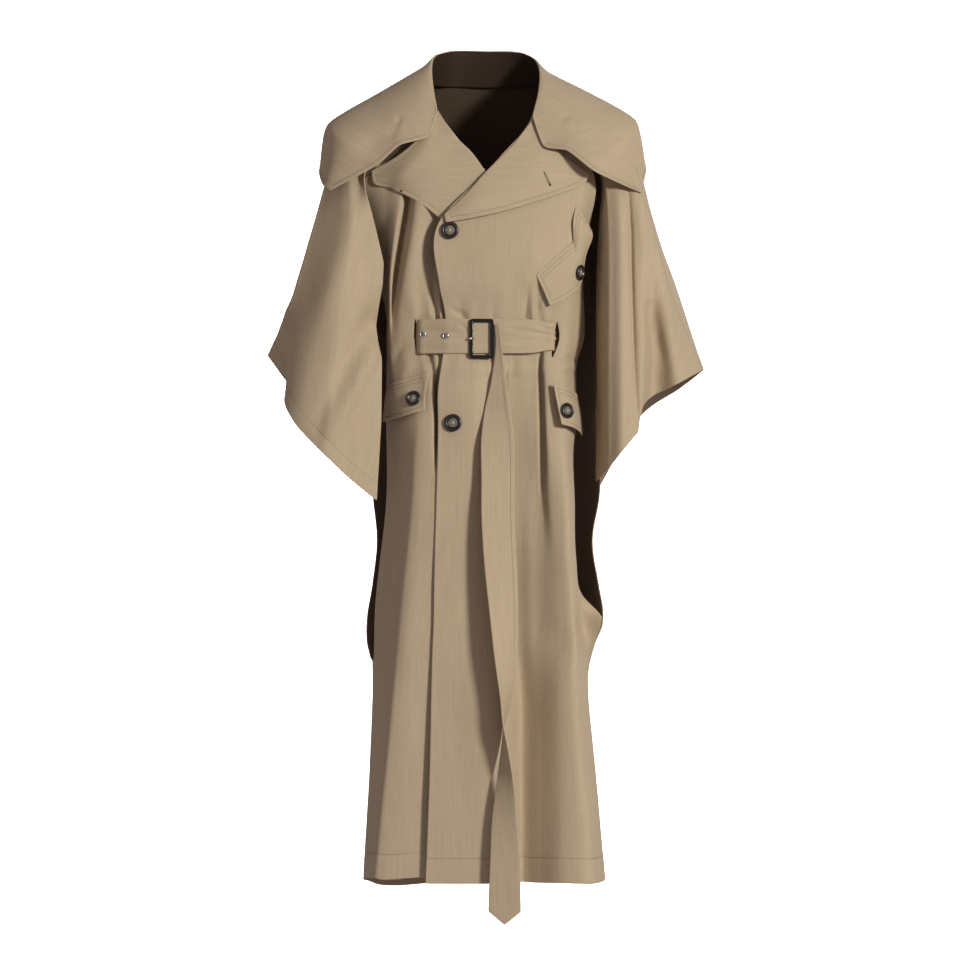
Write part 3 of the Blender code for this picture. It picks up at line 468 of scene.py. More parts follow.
def shell(name, points, wall, material, out=None, without=(), sideways=False, grain=None):
    """A closed piece of cloth about a grid of points, with the cells in without left open."""
    rows, columns = points.shape[:2]
    skin = rows * columns
    out = (normals(points) if out is None else out).reshape(-1, 3)
    flat = points.reshape(-1, 3)
    cells = [(i, j) for i in range(rows - 1) for j in range(columns - 1) if (i, j) not in without]
    faces = []
    edges = set()
    for i, j in cells:
        here, below = i * columns + j, (i + 1) * columns + j
        ring = (here, below, below + 1, here + 1)
        faces.append(ring)
        faces.append(tuple(corner + skin for corner in reversed(ring)))
        edges.update(zip(ring, ring[1:] + ring[:1]))
    border = [(a, b) for a, b in sorted(edges) if (b, a) not in edges]
    ways = {}
    for a, b in border:
        way = unit(np.cross(flat[b] - flat[a], out[a]))
        ways[a] = ways.get(a, 0.0) + way
        ways[b] = ways.get(b, 0.0) + way
    number = {}
    rim = []
    for corner, way in ways.items():
        number[corner] = 2 * skin + len(rim)
        for turn in RIM_TURNS:
            bend = math.cos(turn) * unit(way) + math.sin(turn) * out[corner]
            rim.append(flat[corner] + wall / 2 * bend)
    for a, b in border:
        side_a, side_b = (
            [corner, *range(number[corner], number[corner] + len(RIM_TURNS)), corner + skin]
            for corner in (a, b)
        )
        for k in range(len(side_a) - 1):
            faces.append((side_b[k], side_a[k], side_a[k + 1], side_b[k + 1]))
    places = np.concatenate([flat + out * wall / 2, flat - out * wall / 2, np.array(rim)])
    metres = (cloth_metres(points) if grain is None else grain).reshape(-1, 2)
    if sideways:
        metres = metres[:, ::-1]
    rim_metres = [metres[corner] for corner in ways for _ in RIM_TURNS]
    return add_piece(name, places, faces, material, np.concatenate([metres, metres, rim_metres]))


def add_piece(name, places, faces, material, metres=None):
    mesh = bpy.data.meshes.new(name)
    used = sorted({corner for face in faces for corner in face})
    place = {old: new for new, old in enumerate(used)}
    mesh.from_pydata([tuple(places[k]) for k in used], [], [tuple(place[c] for c in f) for f in faces])
    if metres is not None:
        layer = mesh.uv_layers.new(name=CLOTH_MAP)
        corners = np.empty(len(mesh.loops), np.int32)
        mesh.loops.foreach_get("vertex_index", corners)
        layer.data.foreach_set("uv", np.asarray(metres)[used][corners].astype(np.float32).ravel())
    mesh.materials.append(material)
    mesh.polygons.foreach_set("use_smooth", np.ones(len(mesh.polygons), bool))
    piece = bpy.data.objects.new(name, mesh)
    bpy.context.scene.collection.objects.link(piece)
    return piece


def dress(piece, nodes):
    """The piece stands for CAD nodes, whose own parts are hidden, and moves with the coat."""
    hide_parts(*nodes)
    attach(piece, "root")
    print(f"{piece.name}: {len(piece.data.polygons)} faces")
    return piece


print("cloth wall:", CLOTH_WALL, "m")

# %% [markdown]
# ## The front that laps over
# The wearer's left front is flat over the chest, turns into a pleat beside it and rounds away to
# the side. Below the belt it hangs free to the hem. A table gives it level by level, at the same
# stations as in the CAD model, so that a fold is one column read downwards.

# %% The left front's levels
def metres(table):
    """A table in millimetres, brought to metres, with any words in it kept."""
    if isinstance(table, tuple):
        return tuple(metres(item) for item in table)
    return table if isinstance(table, str) else table / 1000


PLEAT_STATION = 3
# Each row is a level: its drop, then (x, y) at the front edge or roll line, the end of the flat
# middle, the hollow behind the belt's end, the pleat's foot, its top, the roll, its back and the side.
FRONT_LEFT = metres((
    (20, (77, -57), (78.5, -57), (80, -56.7), (81.5, -56.5), (83, -56.2), (84.5, -56), (86.2, -55.5),
     (88, -55)),
    (60, (58, -92), (68, -91.5), (77, -90), (86, -88), (94, -86), (102, -84), (110, -81), (118, -77)),
    (100, (24, -113), (45, -112), (66, -110), (86, -107), (102, -104), (118, -100), (132, -94),
     (146, -87)),
    (135, (-8, -123), (28, -122), (62, -120), (90, -117), (112, -113), (130, -107), (146, -96),
     (160, -80)),
    (200, (-68, -130), (-10, -131), (36, -130), (75, -126), (102, -119), (122, -109), (139, -90),
     (153, -60)),
    (290, (-68, -130), (-12, -131), (32, -129), (70, -124), (96, -116), (117, -106), (133, -84),
     (143, -52)),
    (338, (-59, -119), (-10, -120), (30, -118), (66, -112), (92, -106), (116, -98), (134, -74),
     (146, -44)),
    (368, (-59, -117), (-10, -118), (32, -113), (70, -106), (92, -102), (115, -95), (133, -70),
     (145, -40)),
    (398, (-63, -119), (-10, -120), (34, -109), (78.5, -103), (85, -110), (110, -104), (128, -70),
     (136, -39)),
    (450, (-70, -127), (-10, -129), (36, -107), (79.5, -106), (86.5, -115), (110, -109), (127, -74),
     (134, -50)),
    (490, (-69.5, -128), (-11, -131), (36, -105), (80, -108), (88, -117), (112, -111), (128, -76),
     (134, -50)),
    (533, (-70, -130), (-12, -130), (37, -103), (82, -109), (90.5, -119), (112, -117), (126, -83),
     (129, -50)),
    (606, (-72, -132), (-12, -130.5), (38, -102), (83.5, -106), (93.5, -118), (116, -122), (128, -92),
     (130, -52)),
    (694, (-74.5, -135), (-12, -132), (40, -101), (83, -111), (102, -122), (119, -127), (131, -96),
     (133, -56)),
    (747, (-75.5, -137), (-6, -133.5), (41, -101), (82, -112), (104, -125), (124, -130), (136, -92),
     (141, -60)),
    (785, (-76, -138), (0, -135), (43, -102), (80, -112), (106, -127), (127, -132), (141, -72),
     (172.5, -74)),
    (820, (-77.5, -139), (8, -137), (46, -102), (79, -114), (108, -128), (130, -133), (146, -70),
     (161, -50)),
    (870, (-79, -140), (16, -143), (50, -99), (78, -114), (106, -134), (130, -138), (149, -64),
     (152, -0.5)),
    (1000, (-81.5, -144), (22, -147), (52, -101), (78, -116), (108, -136), (138, -140), (159, -70),
     (162, -0.5)),
    (1165, (-87.5, -148), (20, -151), (52, -106), (78, -120), (110, -141), (150, -143), (174, -70),
     (177, -0.5)),
))
FRONT_LEFT_HEM_DROPS = metres((1164, 1163.5, 1166, 1166, 1164, 1165, 1169, 1172))
print("left front:", len(FRONT_LEFT), "levels")

# %% [markdown]
# ## Gathers and folds
# A tight belt gathers the cloth, so short creases fan out from both of its edges, and long soft folds
# run down the skirt. Each is one row of numbers, read off where the photograph shows it. They are
# pressed into the fine grid, because the net's stations are too far apart to carry them.

# %% Lay the left front
BODY_SLACK = 0.75
BODY_RIPPLE = (0.055, 0.0016)
# The drops of the belt's two edges, in the tables' millimetres.
BELT_TOP = 340
BELT_FOOT = 396
LEFT_CREASES = metres((
    # x and drop where it starts and where it ends, half width, height and kind
    (-34, BELT_TOP, -40, 300, 5, -3, FANS),
    (-22, BELT_TOP, -18, 312, 5, 2.5, FANS),
    (58, BELT_TOP, 62, 285, 5, -4.5, FANS),
    (68, BELT_TOP, 67, 270, 5, 5, FANS),
    (78, BELT_TOP, 74, 280, 4, -6, FANS),
    (86, BELT_TOP, 82, 300, 4, 5, FANS),
    (10, BELT_TOP, 14, 300, 6, -2.5, FANS),
    (40, BELT_FOOT, 36, 430, 6, -3.5, RUNS),
    (52, BELT_FOOT, 56, 500, 8, 2, FANS),
    (-40, BELT_FOOT, -46, 480, 10, 1.5, FANS),
    (-30, 520, -40, 1140, 22, -1.8, RUNS),
    (-78, 925, -16, 927, 3, -0.8, RUNS),
    (62, 560, 66, 900, 8, 2, RUNS),
    (79.5, 380, 83.5, 600, 3.6, -10, RUNS),
    (-110, 413, 112, 413, 12, 5, RUNS),
    (-52, 326, -27, 341, 3.6, -4, RUNS),
    (108, 402, 136, 397, 3.6, -2.2, RUNS),
    (106, 412, 134, 409, 3.4, 1.8, RUNS),
    (110, 423, 134, 418, 3.6, -2, RUNS),
))


def body_net(table, hem_drops):
    """The net of a panel from level rows of (x, y), with the hem's own drop at each station."""
    drops = [row[0] for row in table]
    net = np.array([[(x, y, -row[0]) for x, y in row[1:]] for row in table])
    net[-1, :, 2] = -np.array(hem_drops)
    return net, drops


left_net, left_drops = body_net(FRONT_LEFT, FRONT_LEFT_HEM_DROPS)
left_front = laid(left_net, left_drops, CLOTH_STEP, BODY_SLACK, close=(PLEAT_STATION,))[0]
left_front = rippled(creased(left_front, LEFT_CREASES), *BODY_RIPPLE, seed=3.0)
print("left front grid:", left_front.shape)

# %% [markdown]
# ## The front that lies under
# The wearer's right front shows between the lap and the cape. Beside the cape it turns back in a
# deep crease above the belt, and below it the crease becomes a sharp ridge that runs to the hem,
# with all of the cloth beyond it in shade.

# %% The right front's levels
FLAT_STATION = 5
# Each row is a level: its drop, then (x, y) at the side, the middle of the shaded flank, the crest
# beside the cape, the crease that becomes the skirt's ridge, the lit fold, the flat and the hidden edge.
FRONT_RIGHT = metres((
    (20, (-88, -55), (-86.5, -55.5), (-85, -56), (-83.5, -56), (-82, -56), (-80, -56.5), (-77, -57)),
    (60, (-118, -77), (-109, -80), (-101, -82), (-96, -83), (-88, -85), (-72, -87), (-57, -89)),
    (100, (-146, -87), (-130, -93), (-116, -97), (-108, -98), (-92, -103), (-60, -107), (-24, -108)),
    (135, (-180, -76), (-148, -91), (-122, -102), (-117, -100), (-102, -110), (-60, -114), (8, -114)),
    (170, (-184, -62), (-148, -91), (-122, -105), (-117, -84), (-106.5, -113), (-66, -112), (20, -112)),
    (209, (-176, -54), (-148, -83), (-129, -103), (-123.5, -78), (-111, -111), (-72, -102), (34, -112)),
    (283, (-160, -30), (-150, -56), (-139.5, -95), (-134.5, -74), (-123, -105), (-72, -101),
     (34, -111)),
    (338, (-148, -48), (-145, -68), (-141, -87), (-138.5, -85), (-128, -96), (-64, -109), (34, -111)),
    (368, (-148, -44), (-145, -66), (-141, -84), (-137, -87), (-126, -94), (-60, -107), (34, -109)),
    (398, (-147, -44), (-144, -66), (-140, -83), (-134, -88), (-122, -95), (-63, -109), (34, -111)),
    (450, (-147, -43), (-139, -73), (-126, -94), (-114, -103), (-100, -108), (-67, -117), (34, -117)),
    (474, (-147, -43), (-132, -79), (-116, -102), (-105, -111), (-96, -115), (-68.5, -120), (34, -119)),
    (490, (-147, -45), (-128, -87), (-110, -109), (-101, -116), (-93, -119), (-69, -122), (34, -120)),
    (533, (-147, -44), (-128, -83), (-111, -109), (-104, -118), (-96, -122), (-70, -127), (34, -122)),
    (606, (-148, -38), (-131, -75), (-116, -107), (-109, -120), (-101, -125), (-73, -128.8),
     (34, -122)),
    (694, (-157, -26), (-139, -68), (-124, -108), (-117, -122), (-108, -127), (-76, -131.5),
     (34, -124)),
    (775, (-165, -13), (-148, -62), (-132, -110), (-125, -124), (-116, -129), (-79, -132.5),
     (34, -126)),
    (845, (-168, -0.5), (-153, -58), (-139, -111), (-132, -125), (-123, -130), (-83, -132.5),
     (34, -128)),
    (870, (-169, -0.5), (-155, -58), (-141, -112), (-134, -126), (-125, -130), (-84, -132), (34, -128)),
    (1000, (-174, -0.5), (-164, -58), (-153, -113), (-147, -127), (-138, -130), (-89, -131),
     (34, -131)),
    (1157, (-183, -0.5), (-176, -58), (-168, -114), (-163, -128), (-153, -132), (-95, -135),
     (34, -134)),
))
FRONT_RIGHT_HEM_DROPS = metres((1175, 1166, 1160, 1158, 1160, 1156, 1156))
print("right front:", len(FRONT_RIGHT), "levels")

# %% [markdown]
# ## Where the two fronts lap
# The closure reads as a line because the two layers part there. Just below the belt this front dips
# away behind the lap's free edge, which leaves a dark line. Further down they lie close, and the
# edge of the lap throws only a thin shadow.

# %% Lay the right front
# The groove's depth, its (start, full, full, end) across from the lap's edge, and its shares by drop.
GROOVE_DEPTH = 0.022
GROOVE_WIDTHS = (-0.0066, -0.0040, 0.016, 0.050)
GROOVE_DROPS = (0.405, 0.455, 0.505, 0.570, 1.150)
GROOVE_SHARES = (0.0, 1.0, 0.80, 0.0, 0.0)
RIGHT_CREASES = metres((
    (-80.8, BELT_TOP, -92, 258, 4.5, 7.5, FANS),
    (-90, BELT_TOP, -101, 270, 5, -6, FANS),
    (-72.5, BELT_TOP, -80, 270, 4, -5, FANS),
    (-65, BELT_TOP, -74, 262, 4, 7, FANS),
    (-104, BELT_TOP, -112, 285, 5.5, 4, FANS),
    (-116, 366, -140, 410, 5.5, -3, RUNS),
    (-110, 392, -124, 436, 5.5, 2.5, RUNS),
    (-81, BELT_FOOT, -69, 462, 4, -8, FANS),
    (-89, BELT_FOOT, -80, 490, 6, 4.5, FANS),
    (-74, BELT_FOOT, -67, 440, 4.5, 5, FANS),
    (-108, 700, -118, 1150, 16, 1.5, RUNS),
    (-130, 413, 20, 413, 12, 4, RUNS),
))
right_net, right_drops = body_net(FRONT_RIGHT, FRONT_RIGHT_HEM_DROPS)
right_front = laid(right_net, right_drops, CLOTH_STEP, BODY_SLACK, close=(FLAT_STATION,))[0]
right_front = rippled(creased(right_front, RIGHT_CREASES), *BODY_RIPPLE, seed=9.0)
drop = -right_front[..., 2]
past_lap = right_front[..., 0] - np.interp(drop, -left_front[:, 0, 2], left_front[:, 0, 0])
groove = np.interp(past_lap, GROOVE_WIDTHS, (0.0, 1.0, 1.0, 0.0))
groove *= np.interp(drop, GROOVE_DROPS, GROOVE_SHARES)
right_front[..., 1] += GROOVE_DEPTH * groove
print("right front grid:", right_front.shape)

# %% [markdown]
# ## The back
# The back isn't seen in the photograph. It hangs plainly from the shoulders, with a few long folds
# like those of the fronts, and it meets each front in a side seam below the long armhole. The seam
# is brought together here, so that no light shows through it.

# %% Lay the back and meet the side seams
# The back, from the wearer's left to the right: (x, y) at the left edge, the left fold, the
# centre, the right fold and the right edge.
BACK = metres((
    (-32, (62, 58), (36, 67), (0, 70), (-36, 67), (-62, 58)),
    (20, (98, 84), (55, 97), (0, 101), (-55, 97), (-98, 84)),
    (80, (130, 104), (72, 120), (0, 124), (-72, 120), (-130, 104)),
    (140, (150, 112), (82, 132), (0, 136), (-82, 132), (-150, 112)),
    (300, (160, 92), (92, 139), (0, 143), (-92, 139), (-160, 92)),
    (450, (166, 68), (98, 142), (0, 147), (-98, 142), (-166, 68)),
    (600, (171, 42), (100, 145), (0, 148), (-100, 145), (-170.5, 50)),
    (670, (160, 22), (103, 148), (0, 150), (-103, 148), (-164, 38)),
    (735, (168.5, -20), (104, 150), (0, 151), (-105, 150), (-171, 24)),
    (785, (172.5, -73), (104, 150), (0, 151), (-106, 150), (-178.5, 14)),
    (820, (161, -49), (105, 150), (0, 151), (-107, 150), (-178, 6)),
    (850, (154, -14), (105, 149), (0, 152), (-107, 149), (-171, 0.5)),
    (870, (152, 0.5), (106, 149), (0, 152), (-108, 149), (-169, 0.5)),
    (1000, (162, 0.5), (112, 154), (0, 154), (-114, 154), (-174, 0.5)),
    (1195, (177, 0.5), (122, 164), (0, 157), (-136, 161), (-183, 0.5)),
))
BACK_HEM_DROPS = metres((1172, 1192, 1192, 1204, 1176))
BACK_RIPPLE = (0.060, 0.0012)
LEFT_ARMHOLE_DROP = 0.785
RIGHT_ARMHOLE_DROP = 0.847
SEAM_EASE = 0.020
BACK_CREASES = metres((
    (60, 400, 74, 1170, 24, 6.5, RUNS),
    (24, 460, 28, 1180, 20, -5, RUNS),
    (-20, 420, -26, 1180, 24, 6, RUNS),
    (-62, 480, -72, 1170, 22, -5.5, RUNS),
    (-100, 620, -110, 1150, 18, 4, RUNS),
    (110, 250, 70, 480, 16, -3, RUNS),
    (-110, 240, -74, 460, 16, -3, RUNS),
))
back_net, back_drops = body_net(BACK, BACK_HEM_DROPS)
back = laid(back_net, back_drops, CLOTH_STEP)[0]
back = rippled(creased(back, BACK_CREASES), *BACK_RIPPLE, seed=15.0)


def meet_seam(front, front_column, back_column, armhole_drop):
    """Brings both side edges onto their common line below the armhole, easing the cloth beside it."""
    sides = ((front, front_column, -CLOTH_WALL / 2), (back, back_column, CLOTH_WALL / 2))
    lines = [panel[:, column].copy() for panel, column, _ in sides]
    for panel, column, play in sides:
        for row in panel:
            edge = row[column].copy()
            if -edge[2] < armhole_drop:
                continue
            x, y, _ = np.mean([on_line(line, -line[:, 2], -edge[2]) for line in lines], axis=0)
            off = np.linalg.norm(row - edge, axis=1)
            shift = np.array((x, y + play, edge[2])) - edge
            row += np.exp(-((off / SEAM_EASE) ** 2))[:, None] * shift


meet_seam(left_front, -1, 0, LEFT_ARMHOLE_DROP)
meet_seam(right_front, 0, -1, RIGHT_ARMHOLE_DROP)
print("back grid:", back.shape)

# %% [markdown]
# ## Slits for the belt
# The belt leaves each front through an upright slit. Two neighbouring columns of the grid are parted
# into a lens, and the cells between them stay open, so the shell rounds the slit's edges like any
# other border. A boolean cut would leave ragged faces there.

# %% Open the slits
SLIT_HALF = 0.0285
SLIT_FADE = 0.3
SLIT_END = 0.0006
SLIT_GAP = 0.0050
LEFT_SLIT_X = 0.1030
LEFT_SLIT_DROP = 0.3715
RIGHT_SLIT_X = -0.1040
RIGHT_SLIT_DROP = 0.3680


def slit_open(points, slit_x, slit_drop):
    """The grid with two columns parted into a lens-shaped slit for the belt, and its open cells."""
    points = points.copy()
    drop = -points[..., 2]
    row = points[int(np.argmin(np.abs(drop[:, 0] - slit_drop)))]
    column = int(np.argmin(np.abs((row[:-1, 0] + row[1:, 0]) / 2 - slit_x)))
    share = np.abs(drop[:, column] - slit_drop) / SLIT_HALF
    for i in np.flatnonzero(share < 1.0 + SLIT_FADE):
        first, second = points[i, column].copy(), points[i, column + 1].copy()
        middle = (first + second) / 2
        half = (second - first) / 2
        natural = np.linalg.norm(half)
        lens = SLIT_END + (SLIT_GAP - SLIT_END) * max(0.0, 1.0 - share[i] ** 2)
        past = max(0.0, (share[i] - 1.0) / SLIT_FADE)
        gap = lens + (natural - lens) * past
        points[i, column] = middle - unit(half) * gap
        points[i, column + 1] = middle + unit(half) * gap
    inside = share < 1.0
    return points, {(int(i), column) for i in np.flatnonzero(inside[:-1] & inside[1:])}


left_front, left_open = slit_open(left_front, LEFT_SLIT_X, LEFT_SLIT_DROP)
right_front, right_open = slit_open(right_front, RIGHT_SLIT_X, RIGHT_SLIT_DROP)
print("open cells in the slits:", len(left_open), len(right_open))

# %% [markdown]
# ## Cutting the cloth and remembering its stitches
# Every sheet of cloth was once flat. Its cut is measured on the grid: the widest row, the longest
# column and the area. Each edge that is sewn also gives a line for the stitches, which are made
# near the end, when all lines are known.

# %% Sheets and stitch lines
stitch_lines = {}
flat_sizes = {}


def cut(piece, points):
    width = float(lengths_along(points, 1).max())
    length = float(lengths_along(points, 0).max())
    sides = np.cross(points[1:, 1:] - points[:-1, :-1], points[1:, :-1] - points[:-1, 1:])
    area = min(float(np.linalg.norm(sides, axis=2).sum() / 2), width * length)
    flat_sizes[piece.name] = (round(width, 3), round(length, 3), round(area, 4))


def sew(group, points, edge, inset, wall, start=0.0, stop=0.0):
    """Keeps a line of stitches that runs an inset inside one edge of a grid, on its outer skin."""
    grid = facing(points, edge)
    out = facing(normals(points), edge)
    run = lengths_along(grid, 1)
    insets = np.broadcast_to(inset, len(grid))
    line, lift = (
        np.array([on_line(row, way, far) for row, way, far in zip(rows, run, insets)])
        for rows in (grid, out)
    )
    length = lengths_along(line, 0)
    kept = (length >= start) & (length <= length[-1] - stop)
    stitch_lines.setdefault(group, []).append((line[kept] + lift[kept] * wall / 2, lift[kept]))


def make_cloth(node, grid, wall, held, rests_on, material=GABARDINE, slot="gabardine", **look):
    """The cloth of one CAD node: its shell, its place on the coat and its cut."""
    piece = shell(f"{node}_cloth", grid, wall, material, **look)
    dress(piece, [node])
    cut(piece, grid)


print("cuts and stitch lines are kept from here on")

# %% [markdown]
# ## Hems, and three pieces of cloth
# A hem is a folded edge, so it is turned in like the seams, with its stitches further from the edge.
# Under its collar the right front dips away from the lapel, which leaves a black gap along the
# collar's edge. The dip is pressed only into the piece that shows, because the wing's seam still
# laps over the front as it was.

# %% Make the fronts and the back
HEM_INSET = 0.036
HEM_RISE = 0.0002
HEM_DIP = 0.0007
COLLAR_DIP = metres(((-92, 58, -150, 122, 18, -26, RUNS),))
for grid in (left_front, right_front, back):
    sew("hem", grid, "bottom", HEM_INSET, CLOTH_WALL)
left_front, right_front, back = (
    turned_in(grid, ("bottom",), HEM_INSET, HEM_RISE, HEM_DIP) for grid in (left_front, right_front, back)
)
for node, grid, shown, slit in (
    ("front_left", left_front, left_front, left_open),
    ("front_right", right_front, creased(right_front, COLLAR_DIP), right_open),
    ("back", back, back, set()),
):
    piece = shell(f"{node}_cloth", shown, CLOTH_WALL, GABARDINE, without=slit)
    dress(piece, [node])
    cut(piece, grid)

# %% [markdown]
# ## The half lining
# Through the long armholes the inside of the back shows as a dark, smooth lining. It is built only
# where it can be seen, just inside the cloth, and ends a little below the armholes. A copy of the
# back's own grid, moved inwards, follows all of its folds.

# %% Line the back
LINING_WALL = 0.0010
LINING_PLAY = 0.0005
LINING_LAP = 0.0025
LINING_FOOT = 0.860
lining_depth = (CLOTH_WALL + LINING_WALL) / 2 + LINING_PLAY
lined_rows = int(np.argmax(-back[:, back.shape[1] // 2, 2] > LINING_FOOT))
back_inside = moved(back, -lining_depth)[:lined_rows]
for edge, beside in ((0, 1), (-1, -2)):
    back_inside[:, edge] += LINING_LAP * unit(back_inside[:, edge] - back_inside[:, beside])
# The lining's material darkens it towards the neck as painted shade.
make_cloth("back_lining", back_inside, LINING_WALL, "hung", ["back_cloth"], LINING, "lining")

# %% [markdown]
# ## The cape's wings
# Each wing is cut as one big sleeve that was never closed: it runs from the neck over the shoulder,
# its front edge hangs free, and its back edge is sewn to the back. The overarm seam parts it into a
# front and a back, both made on the same surface, so that they meet along the ridge. Each row of a
# wing's table is a level from the neck to the hem: (x, y, z) at each station.

# %% The left wing's levels
# The wearer's left wing, front to back: the turned-in side, the pipe's top, the crease beside it, the
# swell, the valley, the outer roll, the overarm ridge, the roll behind it and the shoulder blade.
LEFT_WING = metres((
    ((88.5, -50, -14), (89, -45, -8), (89.5, -35, 2), (89, -26, 10), (88, -17, 16), (87, -8, 20),
     (85, 0, 22), (82, 20, 28), (74, 40, 32)),
    ((120, -70, -52), (122, -63, -44), (125, -50, -30), (127, -37, -18), (128, -24, -7), (128, -12, 3),
     (127, 0, 9), (125, 28, 6), (114, 58, -6)),
    ((152, -83, -92), (157, -77, -84), (164, -64, -66), (169, -49, -50), (172, -33, -36),
     (173, -16, -23), (172, 0, -13), (170, 36, -22), (154, 76, -48)),
    ((175, -79, -133), (186, -80, -130), (199, -71, -109), (205, -57, -89), (209, -35, -72),
     (211, -18, -58), (209, 1, -46), (208, 42, -64), (188, 88, -98)),
    ((180, -103, -203), (196, -112, -202), (212.5, -100, -200), (226, -101, -198), (238, -90, -196),
     (247, -60, -194), (249, 1, -192), (246, 52, -206), (214, 98, -226)),
    ((181, -116, -303), (197, -126, -302), (214.5, -112, -300), (229, -110, -297), (244, -90, -294),
     (262, -83, -291), (285, 3, -289), (276, 58, -306), (228, 98, -338)),
    ((179.5, -121, -560), (197, -138, -536), (222, -118, -506), (227.5, -114, -472), (248, -60, -451),
     (281, -82, -435), (326, 6, -411), (293, 48, -438), (236, 76, -478)),
))
LEFT_EDGE_TOP = metres((171, -52, -128))
LEFT_WING_EDGE = metres(((168, -40, -205), (165, -36, -305), (165, -46, -578)))
LEFT_RIDGE = 7
LEFT_SHARP_AT = (1, 3)
LEFT_WING_CREASES = metres((
    (210, 130, 220, 480, 3.2, -6, RUNS),
    (244, 310, 262, 450, 12, -9, RUNS),
    (236, 360, 262, 440, 10, 4, RUNS),
    (240, 180, 268, 430, 14, 3, RUNS),
    (176, 230, 182, 560, 10, 2, RUNS),
))
print("left wing:", len(LEFT_WING), "levels")

# %% [markdown]
# ## Seams that lap and edges that hang free
# Above the shoulder both borders of a wing follow its raglan seams, where it laps over the front and
# the back. Below it the front border hangs free. A fold that the photograph shows crisp gets two
# more stations close to its column, so the cloth bends only there.

# %% Lap, sharpen and pull
LAP_INSET = 0.007
LAP_LIFT = CLOTH_WALL + 0.0004
SHARP_SHARE = 0.22
EDGE_EASE = 0.024


def lapped(panel, edge, drops):
    """A line on a panel's outer skin just inside one edge, for a seam that laps over it."""
    grid, out = facing(panel, edge), facing(normals(panel), edge)
    run = lengths_along(grid, 1)
    line = np.array([on_line(row, way, LAP_INSET) for row, way in zip(grid, run)])
    line += out[:, 0] * LAP_LIFT
    return on_line(line, -line[:, 2], drops)


def sharpened(net, column):
    """The net with two stations close to one column, so that the cloth bends only there."""
    middle = net[:, column : column + 1]
    before = middle + (net[:, column - 1 : column] - middle) * SHARP_SHARE
    after = middle + (net[:, column + 1 : column + 2] - middle) * SHARP_SHARE
    return np.concatenate([net[:, :column], before, middle, after, net[:, column + 1 :]], axis=1)


def pulled_edge(points, edge, table):
    """The grid with a free edge pulled to places of (drop, x, y), and the cloth beside it eased."""
    drops, xs, ys = np.array(table).T
    line = facing(points, edge)[:, 0]
    drop = -line[:, 2]
    shift = np.zeros(line.shape)
    shift[:, 0] = np.interp(drop, drops, xs) - line[:, 0]
    shift[:, 1] = np.interp(drop, drops, ys) - line[:, 1]
    shift *= np.interp(drop, (drops[0], drops[0] + EDGE_EASE), (0.0, 1.0))[:, None]
    off = edge_distance(points, (edge,))
    return points + np.exp(-((off / EDGE_EASE) ** 2))[..., None] * shift[:, None]


print("a wing laps", LAP_INSET, "m over its front and the back")

# %% [markdown]
# ## One way to make both wings
# Both wings are laid by the same steps, and only their tables differ. The creases fade out towards
# the overarm seam, so that front and back still meet there. Then the grid is parted at the seam,
# with half a wall's play on each side, and the back half is lined.

# %% Lay a wing and part it
CAPE_SLACK = 0.85
CREASE_CLEAR = 0.03
WING_RIPPLE = (0.060, 0.0020)
WING_HEM_INSET = 0.024
LINING_INSET = 2


def wing_surface(side, table, borders, ridge, sharp, creases, seed, free_edge=None):
    """The grid of a whole wing, and the column of its overarm seam."""
    front_border, back_border = borders
    strips = [front_border[:, None], np.array(table), back_border[:, None]]
    net = np.concatenate(strips if side == "left" else strips[::-1], axis=1)
    grooves = []
    for column in sorted(sharp):
        net = sharpened(net, column + 2 * len(grooves))
        grooves.append(column + 2 * len(grooves) + 1)
        ridge += 2 * (column < ridge)
    levels = np.arange(len(net))
    points, _, across = laid(net, levels, CLOTH_STEP, CAPE_SLACK, keep_columns=(ridge,), close=grooves)
    seam = int(np.argmin(np.abs(across - ridge)))
    off = np.linalg.norm(points - points[:, seam : seam + 1], axis=2)
    near = np.clip(off / CREASE_CLEAR, 0.0, 1.0)[..., None]
    columns = np.arange(points.shape[1])[None, :, None]
    in_front = columns <= seam if side == "left" else columns >= seam
    points = points + (creased(points, creases) - points) * near * in_front
    if free_edge:
        points = pulled_edge(points, "end", free_edge)
    return rippled(points, *WING_RIPPLE, seed), seam


def wing_halves(side, points, seam):
    """The front and the back of a wing, parted at its seam, each with its outward directions."""
    points = turned_in(points, ("bottom",), WING_HEM_INSET)
    out = normals(points)
    first, second = points[:, : seam + 1].copy(), points[:, seam:].copy()
    play = unit(points[:, seam + 1] - points[:, seam - 1]) * CLOTH_WALL / 2
    first[:, -1] -= play
    second[:, 0] += play
    halves = [(first, out[:, : seam + 1]), (second, out[:, seam:])]
    return halves if side == "left" else halves[::-1]


def make_wing(side, front, rear):
    """The wing's front, its back and the lining inside its back."""
    trim = (slice(LINING_INSET, None), slice(LINING_INSET, -LINING_INSET))
    inside = ((rear[0] - rear[1] * lining_depth)[trim], rear[1][trim])
    for name, (grid, out), wall, material, slot, under in (
        ("front", front, CLOTH_WALL, GABARDINE, "gabardine", f"front_{side}_cloth"),
        ("back", rear, CLOTH_WALL, GABARDINE, "gabardine", "back_cloth"),
        ("lining", inside, LINING_WALL, LINING, "lining", f"cape_{side}_back_cloth"),
    ):
        make_cloth(f"cape_{side}_{name}", grid, wall, "hung", [under], material, slot, out=out)


print("a wing's hem is", WING_HEM_INSET, "m deep")

# %% [markdown]
# ## The wearer's left wing
# Its overarm seam shows as a row of stitches that starts under the collar and nears the ridge on its
# way down, so the row's inset from the ridge follows the drop.

